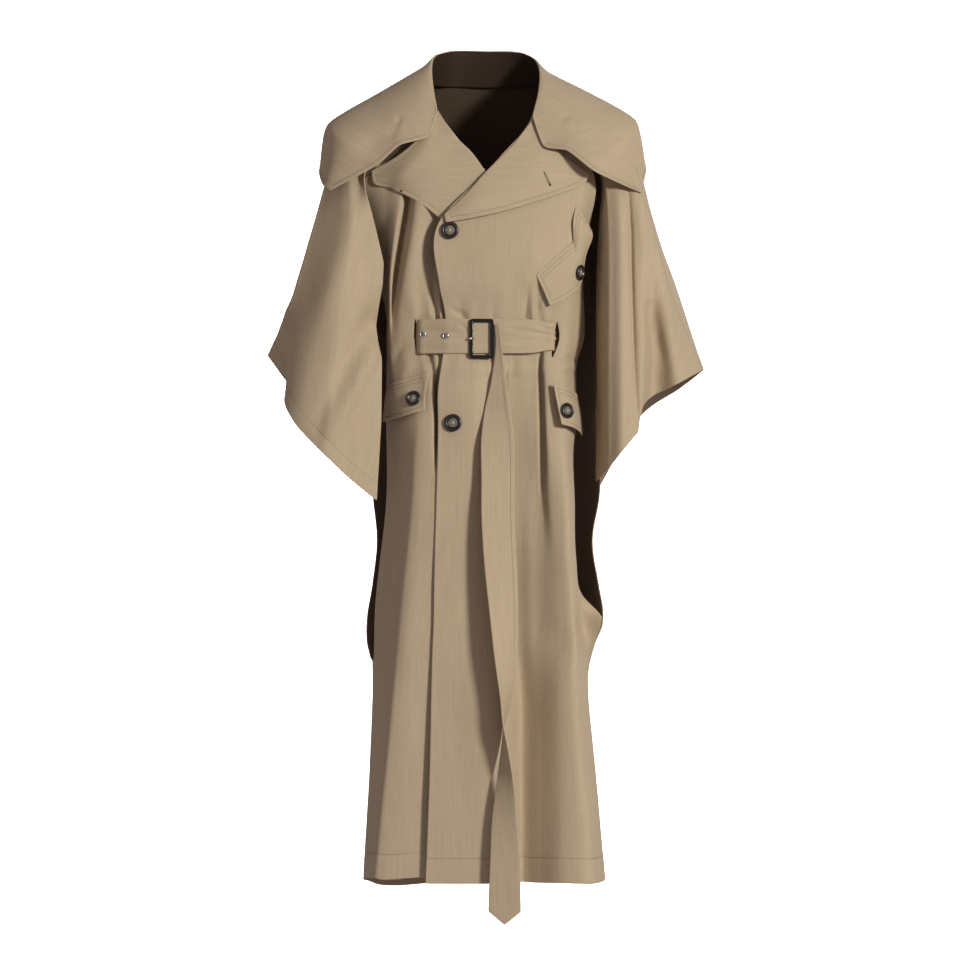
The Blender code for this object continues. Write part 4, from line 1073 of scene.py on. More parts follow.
# %% Lay the left wing
RAGLAN_DROPS = (0.020, 0.060, 0.100, 0.135)
BLADE_DROPS = (-0.032, 0.020, 0.080, 0.140, 0.240, 0.360, 0.590)
SEAM_DROPS = (0.050, 0.192, 0.289, 0.411)
SEAM_INSETS = (0.050, 0.080, 0.078, 0.016)
UNDER_COLLAR = 0.160
raglan = lapped(left_front, "end", RAGLAN_DROPS)
left_edge = np.concatenate([raglan[:-1], [LEFT_EDGE_TOP], LEFT_WING_EDGE])
left_blade = lapped(back, "start", BLADE_DROPS)
left_wing, left_seam = wing_surface(
    "left", LEFT_WING, (left_edge, left_blade), LEFT_RIDGE, LEFT_SHARP_AT, LEFT_WING_CREASES, seed=21.0
)
left_halves = wing_halves("left", left_wing, left_seam)
seam_grid = left_halves[0][0]
seam_insets = np.interp(-seam_grid[:, -1, 2], SEAM_DROPS, SEAM_INSETS)
sew("cape_left", seam_grid, "end", seam_insets, CLOTH_WALL, UNDER_COLLAR)
make_wing("left", *left_halves)

# %% [markdown]
# ## The other wing
# The wearer's right wing is turned more to the light: a bright plateau beside its free edge, one
# crisp ridge, and everything beyond it in shade. Its free edge is pulled into a notch, which is
# easier to give as a line of its own than as more stations of the net.

# %% The right wing's levels
# The wearer's right wing, back to front: the shoulder blade, the roll, the overarm ridge, the
# flank, the bulge, the bright ridge, the plateau and the dip beside the free edge.
RIGHT_WING = metres((
    ((-74, 40, 32), (-82, 20, 28), (-85, 0, 22), (-87, -8, 20), (-88, -17, 16), (-89, -26, 10),
     (-89.5, -35, 2), (-89, -45, -8)),
    ((-114, 58, -6), (-125, 28, 6), (-127, 0, 9), (-128, -12, 3), (-128, -24, -7), (-127, -37, -18),
     (-125, -50, -30), (-122, -63, -44)),
    ((-155, 76, -48), (-171, 36, -22), (-174, 0, -13), (-175, -16, -23), (-174, -33, -36),
     (-171, -49, -50), (-166, -64, -66), (-158, -77, -84)),
    ((-190, 88, -98), (-211, 42, -64), (-214, 1, -46), (-216, -20, -60), (-214, -39, -75),
     (-209, -57, -92), (-200, -72, -109), (-186, -82, -126)),
    ((-220, 98, -228), (-252, 52, -212), (-256, 0, -200), (-254.5, -64, -200), (-236, -84, -202),
     (-212, -106, -204), (-198, -112, -206), (-183, -104, -207)),
    ((-234, 98, -344), (-280, 58, -312), (-287, 1, -298), (-283.8, -78, -299), (-259, -104, -300),
     (-231, -133, -302), (-210, -138, -304), (-182, -124, -306)),
    ((-238, 92, -412), (-292, 56, -368), (-307, 3, -344), (-299.8, -64, -347), (-280, -102, -366),
     (-254, -131, -388), (-224, -139, -410), (-190, -125, -432)),
    ((-240, 78, -490), (-296, 50, -434), (-327, 4, -390), (-289.5, -52, -434), (-295, -98, -461),
     (-274, -128, -500), (-235, -139, -540), (-196, -126, -577)),
))
RIGHT_EDGE_TOP = metres((-181, -94, -131))
RIGHT_WING_EDGE = metres((
    (-164, -94, -208), (-156, -107, -308),
    (-158, -110, -454), (-161, -112, -606),
))
RIGHT_RIDGE = 3
RIGHT_SHARP_AT = (4,)
RIGHT_WING_CREASES = metres((
    (-136, 318, -228, 520, 11, 11, RUNS),
    (-156, 312, -252, 510, 13, -8, RUNS),
    (-196, 420, -206, 600, 7, -2, RUNS),
    (-222, 400, -236, 560, 7, 3, RUNS),
    (-176, 250, -180, 560, 10, -2, RUNS),
    (-150, 100, -205, 180, 14, -2.5, RUNS),
))
# The free edge with its notch: drop, x and y.
RIGHT_FREE_EDGE = metres((
    (131, -181, -94),
    (157, -176.6, -96),
    (187, -168, -98),
    (224, -159, -104),
    (258, -151.5, -106),
    (290, -153, -104),
    (318, -158, -96),
    (349, -163, -86),
    (372, -159, -98),
    (398, -153.5, -106),
    (489, -154.5, -110),
    (606, -161, -112),
))
print("right wing:", len(RIGHT_WING), "levels")

# %% [markdown]
# ## The wearer's right wing
# Under the collar this wing is tucked away from the front, which keeps the gap there dark. It has one
# level more than the other wing, so its back border has one drop more.

# %% Lay the right wing
COLLAR_TUCK = (-0.011, 0.006, 0.0)
RIGHT_BLADE_DROPS = BLADE_DROPS[:-1] + (0.470, BLADE_DROPS[-1])
raglan = lapped(right_front, "start", RAGLAN_DROPS)
raglan[1:3] += COLLAR_TUCK
right_edge = np.concatenate([raglan[:-1], [RIGHT_EDGE_TOP], RIGHT_WING_EDGE])
right_blade = lapped(back, "end", RIGHT_BLADE_DROPS)
right_wing, right_seam = wing_surface(
    "right", RIGHT_WING, (right_edge, right_blade), RIGHT_RIDGE, RIGHT_SHARP_AT,
    RIGHT_WING_CREASES, seed=33.0, free_edge=RIGHT_FREE_EDGE,
)
sew("cape_right", right_wing, "bottom", WING_HEM_INSET, CLOTH_WALL)
make_wing("right", *wing_halves("right", right_wing, right_seam))

# %% [markdown]
# ## The collar
# The collar is large and stiff. It stands up inside the neck, rolls over and falls on the cape, and its
# front ends stand clear of the lapels, with a dark gap under them. The stand is lined in dark cloth, made
# darker still by painted shade, and the fall is gabardine, so they are two pieces that meet at the fold.

# %% The collar's places round the neck
# The collar, from the wearer's left front end round the back to the right front end. Each row is
# one place round the neck: (x, y, z) on the neck seam, the fold, the gorge, the fall, the bend and
# the edge.
COLLAR = metres((
    ((74, -78, -36), (69, -88, -41), (85, -112.5, -87), (118.6, -121, -94.3), (158.5, -134, -126),
     (228, -86, -153)),
    ((80, -55, -24), (78, -59, -2), (96, -72, -22), (146, -79, -48), (197, -76, -80), (231, -48, -144)),
    ((82, -2, 12), (79, -6, 43), (97, -8, 30), (162, -6, -3), (224, -2, -38), (238, 6, -104)),
    ((60, 53, 20), (59, 42, 67.5), (72, 56, 40), (124, 78, 12), (172, 96, -34), (200, 122, -104)),
    ((0, 66, 20), (0, 62, 73.5), (0, 80, 40), (0, 114, 10), (0, 142, -32), (0, 162, -108)),
    ((-60, 53, 20), (-61, 42, 70), (-72, 56, 41), (-128, 78, 12), (-178, 96, -34), (-208, 122, -104)),
    ((-82, -2, 12), (-80, -6, 51), (-98, -8, 38), (-168, -6, -3), (-235, -10, -44), (-246, -12, -110)),
    ((-80, -55, -24), (-78, -57, 0), (-96, -72, -16), (-152, -85, -46), (-208, -104, -80),
     (-239, -99, -143)),
    ((-76, -72, -28), (-73, -79, -29), (-85.5, -106.5, -72.5), (-126.5, -123.5, -87),
     (-160, -129, -116.4), (-229, -117, -152.5)),
))
COLLAR_CREASES = metres((
    (-129, 38, -127.5, 53, 3.4, -2, RUNS),
    (-136, 50, -124, 53, 3.2, -1.8, RUNS),
    (-125.5, 52, -123, 64, 3.4, 1.6, RUNS),
    (-133, 55, -142, 80, 8, -2.2, RUNS),
    (110, 42, 124, 41.2, 3, -2, RUNS),
    (115, 48, 128, 60, 6, 1.4, RUNS),
    (-140, 64, -190, 110, 14, -2, RUNS),
    (150, 60, 200, 100, 16, -1.6, RUNS),
))
print("collar:", len(COLLAR), "places round the neck")

# %% [markdown]
# ## Fall and stand
# The whole collar is laid as one grid with a row kept on its fold, and parted there. A slack under 1
# keeps the fall from bulging between its few rows.

# %% Lay the collar
FLAP_WALL = 0.0020
COLLAR_STEP = 0.0032
COLLAR_FALL = 0.62
COLLAR_RIPPLE = (0.070, 0.0009)
FOLD_ROW = 1
GORGE_LENGTH = 0.056
COLLAR_EDGES = ("bottom", "start", "end")
collar_net = np.array(COLLAR).swapaxes(0, 1)
collar_all, collar_down, _ = laid(
    collar_net, np.arange(len(collar_net)), COLLAR_STEP, keep_rows=(FOLD_ROW,), fall=COLLAR_FALL
)
fold = int(np.argmin(np.abs(collar_down - FOLD_ROW)))
collar_out = normals(collar_all)
fall = rippled(creased(collar_all[fold:], COLLAR_CREASES), *COLLAR_RIPPLE, seed=41.0)
for edge in COLLAR_EDGES:
    begin = STITCH_INSET if edge == "bottom" else GORGE_LENGTH
    sew("collar", fall, edge, STITCH_INSET, FLAP_WALL, begin, STITCH_INSET)
fall = turned_in(fall, COLLAR_EDGES)
make_cloth("collar", fall, FLAP_WALL, "folded", ["collar_stand_cloth"], sideways=True)
stand = collar_all[: fold + 1].copy()
stand[-1] -= FLAP_WALL / 2 * unit(stand[-1] - stand[-2])
# The stand's deeper lining colours are painted shade.
make_cloth(
    "collar_stand", stand, FLAP_WALL, "folded", ["back_cloth"], SHADED_NECK_LINING, "lining",
    out=collar_out[: fold + 1], sideways=True,
)

# %% [markdown]
# ## Lapels and flaps
# A lapel is the top of the front itself, rolled over along a line that slants from the neck to the
# first button. It could be one mesh with the front, but a separate piece keeps its own edge and
# grain. It is stiff, so it bridges the folds of the front under it, and its first few columns curl
# round the roll line. Flaps and buttons need to know where the front lies under them.

# %% Finding a place on a front
NORMAL_REACH = 0.004


def surface_of(points):
    """Functions that give a front's place and its outward direction at an x and a drop."""
    drops = -points[:, :, 2].mean(axis=1)

    def place(x, drop):
        k = int(np.clip(np.searchsorted(drops, drop) - 1, 0, len(drops) - 2))
        share = (drop - drops[k]) / (drops[k + 1] - drops[k])
        above = np.interp(x, points[k, :, 0], points[k, :, 1])
        below = np.interp(x, points[k + 1, :, 0], points[k + 1, :, 1])
        return np.array((x, above + (below - above) * share, -drop))

    def out(x, drop):
        across = place(x + NORMAL_REACH, drop) - place(x - NORMAL_REACH, drop)
        down = place(x, drop + NORMAL_REACH) - place(x, drop - NORMAL_REACH)
        return unit(np.cross(down, across))

    return place, out


def on_front(surface, table, lifts, step):
    """A grid that lies on a front, lifted off it by the lifts of its stations."""
    place, out = surface
    net = np.array([[(x, 0.0, drop) for x, drop in row] for row in table])
    spots, _, across = laid(net, np.arange(len(net)), step)
    lift = smooth(np.arange(len(lifts)), lifts, across)
    points = [
        [place(x, drop) + lift[j] * out(x, drop) for j, (x, _, drop) in enumerate(row)] for row in spots
    ]
    return outward(np.array(points))


left_surface = surface_of(left_front)
right_surface = surface_of(right_front)
left_place, right_place = left_surface[0], right_surface[0]
print("middle of the chest:", left_place(0.0, 0.25).round(3))

# %% [markdown]
# ## Lapels
# Each row of a lapel's table goes from the roll line to the free edge, from the break at the first
# button up to the gorge. The cloth's grain is turned with it, because a lapel shows the inside
# facing, which is cut the other way.

# %% Roll the lapels
LEFT_LAPEL = metres((
    ((-60, -133.5, -190), (-59, -135, -195), (-58, -135, -200)),
    ((-30, -131.5, -162), (-24, -137.5, -177), (-16, -136.5, -193)),
    ((2, -125, -126), (14, -133, -154), (28, -134.5, -183)),
    ((36, -111.5, -91), (60, -125, -127), (89, -126.5, -164)),
    ((57, -97.5, -64), (80, -115, -104), (138, -113, -144.5)),
    ((72, -81.5, -42), (90, -103, -80), (151.5, -104, -129)),
))
RIGHT_LAPEL = metres((
    ((4, -117.5, -136), (-28, -119, -170), (-44, -120, -186), (-58, -120.5, -201)),
    ((-20, -112, -101), (-60, -119, -136), (-78, -119, -154), (-96, -118, -171)),
    ((-40, -103, -80), (-86, -115, -116), (-110, -114, -137), (-128, -107.5, -153.5)),
    ((-50, -98, -67), (-96, -112, -104), (-124, -110.5, -128), (-144.5, -96, -146)),
    ((-62, -86, -50), (-92, -105, -84), (-128, -104, -114), (-164, -89, -140)),
    ((-72, -72.5, -32), (-88, -96, -64), (-128, -99, -100), (-168, -88, -122)),
))
LAPEL_STEP = 0.0034
LAPEL_RIPPLE = (0.050, 0.0008)
ROLL_RADIUS = 0.0015
ROLL_STEPS = 5
LAPEL_EDGES = ("end", "top", "bottom")


def rolled(points):
    """The grid with extra columns in front that curl round from under its first edge."""
    out = normals(points)[:, 0]
    away = unit(points[:, 0] - points[:, 1])
    curl = []
    for turn in np.linspace(-math.pi / 2, math.pi / 2, ROLL_STEPS, endpoint=False):
        lift = ROLL_RADIUS * (math.sin(turn) - 1.0)
        curl.append(points[:, 0] + out * lift + away * ROLL_RADIUS * math.cos(turn))
    return np.concatenate([np.stack(curl, axis=1), points], axis=1)


def spot_on(points, x, drop):
    """The place and the outward direction on a grid at an x and a drop."""
    far = (points[..., 0] - x) ** 2 + (points[..., 2] + drop) ** 2
    near = np.unravel_index(np.argmin(far), far.shape)
    out = normals(points)[near]
    away = np.array((x, 0.0, -drop)) - points[near] * (1.0, 0.0, 1.0)
    place = points[near] + away
    place[1] -= (out[0] * away[0] + out[2] * away[2]) / out[1]
    return place, out


lapels = {}
for side, table, front in (("left", LEFT_LAPEL, left_place), ("right", RIGHT_LAPEL, right_place)):
    points = laid(outward(np.array(table)), np.arange(len(table)), LAPEL_STEP)[0]
    points = rippled(points, *LAPEL_RIPPLE, seed=51.0)
    clear = min(front(x, -z)[1] - y for row in points for x, y, z in row)
    sew("lapels", points, "end", STITCH_INSET, FLAP_WALL, STITCH_INSET, STITCH_INSET)
    points = rolled(turned_in(points, LAPEL_EDGES))
    grain = points[..., (2, 0)]
    make_cloth(f"lapel_{side}", points, FLAP_WALL, "folded", [f"front_{side}_cloth"], grain=grain)
    lapels[side] = points
    print(f"lapel_{side} stands {clear:.4f} m or more off its front")

# %% [markdown]
# ## Storm flap and pocket flaps
# The flaps are sewn along one edge with two rows of stitches and hang free along the other, where
# they stand off the coat and throw a thin shadow. The left pocket's flap also turns a little to the
# light at its inner end.

# %% Lay the flaps
# The storm flap: (x, y, z) from the sewn edge to the free edge, row by row up to the shoulder
CHEST_FLAP = metres((
    ((73.5, -126.5, -277), (84, -126.5, -299), (93.5, -120, -321)),
    ((101, -120, -252), (108, -118, -282), (115, -111, -310.5)),
    ((122, -108.5, -234), (128, -108, -264), (133, -96, -296)),
    ((128.5, -104.5, -227.5), (134.5, -101, -258), (140, -85, -283)),
    ((128, -109, -208), (140, -101, -228), (146.5, -86, -246)),
    ((128, -110, -195.6), (142, -102, -208), (156, -86, -218)),
    ((131.5, -106.5, -177.3), (141, -101, -188), (150, -90, -200.5)),
))
# Pocket flaps: (x, drop) from the sewn edge to the free edge, row by row across the flap
LEFT_POCKET_FLAP = metres((
    ((98, 437), (102, 466), (107, 496)),
    ((116, 443), (119, 472), (122, 502)),
    ((130, 450), (132, 480), (133, 510)),
))
RIGHT_POCKET_FLAP = metres((
    ((-142, 435), (-142, 462), (-142, 490)),
    ((-114, 428), (-114, 456), (-115, 484)),
    ((-85, 420), (-86, 448), (-88, 476)),
))
POCKET_FLAP_LIFT = (0.0036, 0.0080, 0.0110)
FLAP_STEP = 0.0030
FLAP_INSET = 0.0050
FLAP_RIPPLE = (0.030, 0.0008)
FLAP_EDGES = ("start", "end", "top", "bottom")
SECOND_ROW = 0.0110
FLAP_TURN = 0.008
chest = laid(outward(np.array(CHEST_FLAP)), np.arange(len(CHEST_FLAP)), FLAP_STEP)[0]
left_pocket = on_front(left_surface, LEFT_POCKET_FLAP, POCKET_FLAP_LIFT, FLAP_STEP)
span = left_pocket[..., 0]
left_pocket[..., 1] -= FLAP_TURN * (span.max() - span) / (span.max() - span.min())
right_pocket = on_front(right_surface, RIGHT_POCKET_FLAP, POCKET_FLAP_LIFT, FLAP_STEP)
for name, points, side in (
    ("chest_flap", chest, "left"),
    ("pocket_flap_left", left_pocket, "left"),
    ("pocket_flap_right", right_pocket, "right"),
):
    points = rippled(points, *FLAP_RIPPLE, seed=61.0)
    for edge in FLAP_EDGES:
        sew("flaps", points, edge, FLAP_INSET, FLAP_WALL, FLAP_INSET, FLAP_INSET)
    sew("flaps", points, "start", SECOND_ROW, FLAP_WALL, FLAP_INSET, FLAP_INSET)
    points = turned_in(points, FLAP_EDGES, FLAP_INSET)
    make_cloth(name, points, FLAP_WALL, "hung", [f"front_{side}_cloth"])

# %% [markdown]
# ## The belt
# A tight belt takes the shortest way over all that bulges under it, so its line is the hull of the
# fronts' sections across its width. At each end it dips through a slit in the front and goes on,
# out of sight, round the back. A few long shallow creases run along it, where it is always folded.

# %% The belt's line
BELT_DROP = 0.3665
BELT_WIDTH = 0.0485
BELT_LIFT = 0.0030
BELT_SECTIONS = 7
BELT_SPAN = (-0.112, 0.116)
BELT_SAMPLES = 160


def turn_between(first, second, third):
    """Above 0 where the way from the first place to the third turns left at the second."""
    a, b = second - first, third - first
    return a[0] * b[1] - a[1] * b[0]


def taut_line():
    """The line a tight belt takes over the fronts, as (x, y) places."""
    places = []
    for drop in np.linspace(BELT_DROP - BELT_WIDTH / 2, BELT_DROP + BELT_WIDTH / 2, BELT_SECTIONS):
        lap = left_front[int(np.argmin(np.abs(left_front[:, 0, 2] + drop))), 0, 0]
        for x in np.linspace(*BELT_SPAN, BELT_SAMPLES):
            place = left_place if x >= lap else right_place
            places.append(place(x, drop)[:2])
    places = np.array(places)
    hull = []
    for place in places[np.lexsort((places[:, 1], places[:, 0]))]:
        while len(hull) > 1 and turn_between(hull[-2], hull[-1], place) <= 0:
            hull.pop()
        hull.append(place)
    return np.array(hull)


belt_line = taut_line()


def belt_y(x):
    return np.interp(x, belt_line[:, 0], belt_line[:, 1])


print("belt line from", belt_line[0].round(3), "to", belt_line[-1].round(3))

# %% [markdown]
# ## Three stretches of belt
# One stretch runs from each slit to the buckle and one, out of sight, round the back. Near its slit
# the left stretch is pinched narrower, because the slit is shorter than the belt is wide.

# %% Lay the belt
BELT_WALL = 0.0022
BELT_STEP = 0.0024
BELT_FOLD = 0.00012
BELT_RIPPLE = (0.040, 0.0008)
BELT_PLACES = 12
SLIT_PINCH = 0.20
PINCH_REACH = 0.020
SLIT_DIP = 0.014
SLIT_CLEAR = 0.0015
RIGHT_SLIT = (-0.1045, -0.0940)
LEFT_SLIT = (0.0945, 0.1005)
BELT_BACK_PATH = metres(((122, -46), (134, 0), (128, 60), (90, 108), (0, 124)))
BUCKLE_X = -0.0068
BUCKLE_WIDTH = 0.0358
BUCKLE_BAR = 0.0027
BELT_CREASES = metres((
    (100, 364, 62, 360, 2.4, -3.2, FANS),
    (100, 354, 66, 348, 2.6, -3, FANS),
    (100, 359, 58, 354, 2.6, 2.6, FANS),
    (100, 369, 64, 369, 2.8, 2.4, FANS),
    (-104, 356, -26, 362, 3, -1.8, RUNS),
    (-100, 366, -40, 364, 2.6, -1.2, RUNS),
    (-98, 376, -30, 379, 4, 1.2, RUNS),
    (-40, 348, -24, 360, 3, -1.6, RUNS),
    (30, 356, 98, 362, 2.8, -1.8, RUNS),
    (26, 374, 98, 370, 3, -1.6, RUNS),
    (98, 364, 60, 357, 3, 1.4, FANS),
    (98, 370, 64, 378, 3, 1.4, FANS),
    (24, 350, 70, 352, 3, 1, RUNS),
))


def band(path):
    """A grid of belt that stands upright along (x, y) places."""
    heights = np.array((BELT_WIDTH / 2, 0.0, -BELT_WIDTH / 2)) - BELT_DROP
    net = np.array([[(x, y, z) for x, y in path] for z in heights])
    return laid(net, np.arange(len(net)), BELT_STEP)[0]


def belt_front(slit, way, end_x):
    """One stretch of belt in front that dips into its slit, and the place where it goes on inside."""
    near, far = (slit[1], slit[0]) if way > 0 else slit
    xs = np.linspace(near - way * SLIT_CLEAR, end_x, BELT_PLACES)
    dip = np.array((far, belt_y(far) + SLIT_DIP))
    path = [dip] + [(x, belt_y(x) - BELT_LIFT) for x in xs]
    return band(path if way > 0 else path[::-1]), dip + unit(dip - path[1]) * BELT_WALL


beside = BUCKLE_X + BUCKLE_WIDTH / 2 - BUCKLE_BAR
right_belt, right_dip = belt_front(RIGHT_SLIT, 1, beside)
left_belt, left_dip = belt_front(LEFT_SLIT, -1, beside + BELT_WALL)
left_half = np.array(BELT_BACK_PATH)
right_half = left_half[:-1][::-1] * (-1.0, 1.0)
back_belt = band(np.concatenate([[left_dip], left_half, right_half, [right_dip]]))
for name, points, seed in (
    ("belt_right", right_belt, 71.0),
    ("belt_left", left_belt, 77.0),
    ("belt_back", back_belt, 83.0),
):
    if name != "belt_back":
        points = creased(points, BELT_CREASES)
    if name == "belt_left":
        pinch = SLIT_PINCH * np.exp(-(((points[..., 0] - LEFT_SLIT[0]) / PINCH_REACH) ** 2))
        points[..., 2] -= (points[..., 2] + BELT_DROP) * pinch
    points = rippled(points, *BELT_RIPPLE, seed)
    points = turned_in(points, ("top", "bottom"), FLAP_INSET, BELT_FOLD, BELT_FOLD)
    under = ["front_left_cloth", "front_right_cloth"]
    make_cloth(name, points, BELT_WALL, "stretched", under, sideways=True)

# %% [markdown]
# ## The belt's hanging end
# The end slides out behind the buckle, folded narrow, and falls to below the hem. It opens flat on
# its way down and twists once low down, where it shows little more than its edge. Both of its
# edges are given level by level, so the twist is in the table itself. One row of stitches shows.

# %% Hang the belt's end
# Each row is a drop, then (x, y) of the first and the second edge. The first is the left one down to
# the twist, where it comes to the front, and the right one below it.
BELT_TAIL = metres((
    (350, (13, -126.2), (19, -129)),
    (375, (14.5, -126.2), (21.5, -130)),
    (403, (12.5, -125.5), (25, -130)),
    (439, (7.1, -129), (29.1, -134.5)),
    (474, (-0.9, -130.5), (34.2, -137.5)),
    (515, (-6.1, -141.5), (39.3, -143)),
    (577, (-6.1, -150), (40.4, -144)),
    (629, (-6.1, -158), (40.4, -151)),
    (702, (-1.7, -169.5), (43.3, -160)),
    (770, (5.5, -177.5), (45.5, -160)),
    (838, (12.8, -184.5), (43, -153)),
    (896, (20.5, -189.5), (34.5, -149)),
    (931, (24.3, -192), (25.8, -149)),
    (964, (31.3, -190.5), (22.6, -155)),
    (1008, (38.6, -186.5), (17.4, -164)),
    (1077, (43.5, -180.5), (8.6, -169)),
    (1114, (47, -179.5), (7.1, -171.5)),
    (1198, (49.1, -179), (4.1, -173)),
))
TAIL_POINT = 0.022
TAIL_SHARES = np.linspace(0.0, 1.0, 5)[:, None]
TAIL_RIPPLE = (0.060, 0.0012)
TAIL_ROW_ENDS = (0.080, 0.350)
TIP_ROWS = 6
TIP_SLOPE = 0.85
tail_net = []
for drop, *edges in BELT_TAIL:
    first, second = (np.array((x, y, -drop)) for x, y in edges)
    tail_net.append(first + (second - first) * TAIL_SHARES)
tail = laid(np.array(tail_net), [row[0] for row in BELT_TAIL], BELT_STEP)[0]
off = edge_distance(tail, ("start",))
shares = 2 * off[-1] / off[-1, -1] - 1.0
tip = []
for row in range(1, TIP_ROWS + 1):
    points = tail[-1].copy()
    points[:, 2] -= TAIL_POINT * row / TIP_ROWS * (1.0 - np.abs(shares) * TIP_SLOPE)
    tip.append(points)
tail = np.concatenate([tail, np.array(tip)])
tail = rippled(tail, *TAIL_RIPPLE, seed=91.0)
sew("belt", tail, "end", FLAP_INSET, BELT_WALL, *TAIL_ROW_ENDS)
tail = turned_in(tail, ("start", "end", "bottom"), FLAP_INSET, BELT_FOLD, BELT_FOLD)
make_cloth("belt_tail", tail, BELT_WALL, "hung", ["belt_left_cloth"])

# %% [markdown]
# ## Buckle, prong and eyelets
# The buckle is a flat bar bent into a rounded frame, black and glossy, with softened edges that
# carry the bright glints. Its bar is swept along the frame's path with a rounded section. The prong
# is a bright rod across it, and eyelets and buttons are turned, as on a lathe.

# %% Sweeping and turning
def add_parts(name, parts):
    """One piece from several (places, faces, material) parts."""
    places, faces, kinds, materials = [], [], [], []
    for part_places, part_faces, material in parts:
        first = len(places)
        places.extend(part_places)
        faces.extend(tuple(corner + first for corner in face) for face in part_faces)
        if material not in materials:
            materials.append(material)
        kinds.extend([materials.index(material)] * len(part_faces))
    piece = add_piece(name, places, faces, materials[0])
    for material in materials[1:]:
        piece.data.materials.append(material)
    piece.data.polygons.foreach_set("material_index", np.array(kinds, np.int32))
    return piece


def swept(path, section, closed, up):
    """Places and faces of a bar with a section of (up, side) points along a path."""
    path = np.asarray(path, float)
    count, sides = len(path), len(section)
    if closed:
        along = np.roll(path, -1, axis=0) - np.roll(path, 1, axis=0)
    else:
        along = np.gradient(path, axis=0)
    places, faces = [], []
    for middle, way in zip(path, unit(along)):
        side = unit(np.cross(way, up))
        top = np.cross(side, way)
        places.extend(middle + a * top + b * side for a, b in section)
    for i in range(count if closed else count - 1):
        for k in range(sides):
            a, b = i * sides + k, i * sides + (k + 1) % sides
            c, d = (i + 1) % count * sides + (k + 1) % sides, (i + 1) % count * sides + k
            faces.append((a, b, c, d))
    if not closed:
        faces.append(tuple(reversed(range(sides))))
        faces.append(tuple(range((count - 1) * sides, count * sides)))
    return places, faces


def side_and_up(out):
    """Two directions square to out, the second as near to upright as can be."""
    side = unit(np.cross(out, (0.0, 0.0, 1.0)))
    return side, np.cross(side, out)


def disc(radius, height):
    """The profile of a flat disc."""
    return (0.0, height), (radius, height), (radius, 0.0), (0.0, 0.0)


def turned(profile, place, out, sides):
    """Places and faces of a turned solid from (radius, height) points, its axis along out."""
    side, up = side_and_up(out)
    places, starts, faces = [], [], []
    for radius, height in profile:
        starts.append(len(places))
        for k in range(sides if radius > 0 else 1):
            turn = 2 * math.pi * k / sides
            places.append(place + height * out + radius * (math.cos(turn) * side + math.sin(turn) * up))
    for i, (start, after) in enumerate(zip(starts, starts[1:] + starts[:1])):
        for k in range(sides):
            n = (k + 1) % sides
            first = (start,) if profile[i][0] == 0 else (start + k, start + n)
            last = profile[(i + 1) % len(profile)][0] == 0
            second = (after,) if last else (after + n, after + k)
            if len(first) + len(second) > 2:
                faces.append(first + second)
    return places, faces


def oval(depth, width, sides, square=2.0):
    """A rounded section: 2 is an ellipse, and more is a bar with softened corners."""
    ring = []
    for k in range(sides):
        c, s = math.cos(2 * math.pi * k / sides), math.sin(2 * math.pi * k / sides)
        up = depth * math.copysign(abs(c) ** (2 / square), c)
        side = width * math.copysign(abs(s) ** (2 / square), s)
        ring.append((up, side))
    return ring


print("a turned disc has", len(turned(disc(1.0, 0.1), np.zeros(3), np.array((0, -1, 0)), 8)[1]), "faces")

# %% [markdown]
# ## The buckle and its prong
# The frame's path is four straight sides with small round corners. Only the corners need places,
# because the sweep joins them. The prong starts on the frame's left bar and sinks into the belt.

# %% Bend the buckle
BUCKLE_DROP = 0.3704
BUCKLE_HEIGHT = 0.0585
BUCKLE_CORNER = 0.0022
BUCKLE_DEPTH = 0.0018
BUCKLE_LIFT = 0.0036
BAR_SIDES = 16
BAR_SQUARE = 4.0
CORNER_STEPS = 6
PRONG_ROD = 0.0017
ROD_SIDES = 12
PRONG_PLACES = 25
PRONG_REACH = 0.0070
PRONG_LIFT = 0.0032
PRONG_SINK = 0.0085
PRONG_OVER = 0.0006
FORWARD = np.array((0.0, -1.0, 0.0))
buckle_y = belt_y(BUCKLE_X) - BELT_LIFT - BUCKLE_LIFT
half_width = BUCKLE_WIDTH / 2 - BUCKLE_BAR - BUCKLE_CORNER
half_height = BUCKLE_HEIGHT / 2 - BUCKLE_BAR - BUCKLE_CORNER
frame_path = []
for quarter, (sx, sz) in enumerate(((1, 1), (-1, 1), (-1, -1), (1, -1))):
    for step in range(CORNER_STEPS + 1):
        turn = (quarter + step / CORNER_STEPS) * math.pi / 2
        x = BUCKLE_X + sx * half_width + BUCKLE_CORNER * math.cos(turn)
        z = -BUCKLE_DROP + sz * half_height + BUCKLE_CORNER * math.sin(turn)
        frame_path.append((x, buckle_y, z))
bar = oval(BUCKLE_DEPTH, BUCKLE_BAR, BAR_SIDES, BAR_SQUARE)
buckle_frame = add_parts("buckle_frame", [(*swept(frame_path, bar, True, FORWARD), ENAMEL)])
dress(buckle_frame, ["buckle"])
prong_start = BUCKLE_X - BUCKLE_WIDTH / 2 - PRONG_OVER
prong_end = BUCKLE_X + BUCKLE_WIDTH / 2
prong_path = []
for x in np.linspace(prong_start, prong_end, PRONG_PLACES):
    share = np.clip((x - prong_start - BUCKLE_BAR) / PRONG_REACH, 0.0, 1.0)
    prong_path.append((x, buckle_y - PRONG_LIFT + PRONG_SINK * share, -BUCKLE_DROP))
rod = swept(prong_path, oval(PRONG_ROD, PRONG_ROD, ROD_SIDES), False, FORWARD)
prong_rod = add_parts("prong_rod", [(*rod, NICKEL)])
dress(prong_rod, ["buckle_prong"])

# %% [markdown]
# ## Eyelets
# Each eyelet is a half-round nickel ring on the belt's outer side, with a dull disc for its hole. A
# real hole through the belt would be too small to look into.

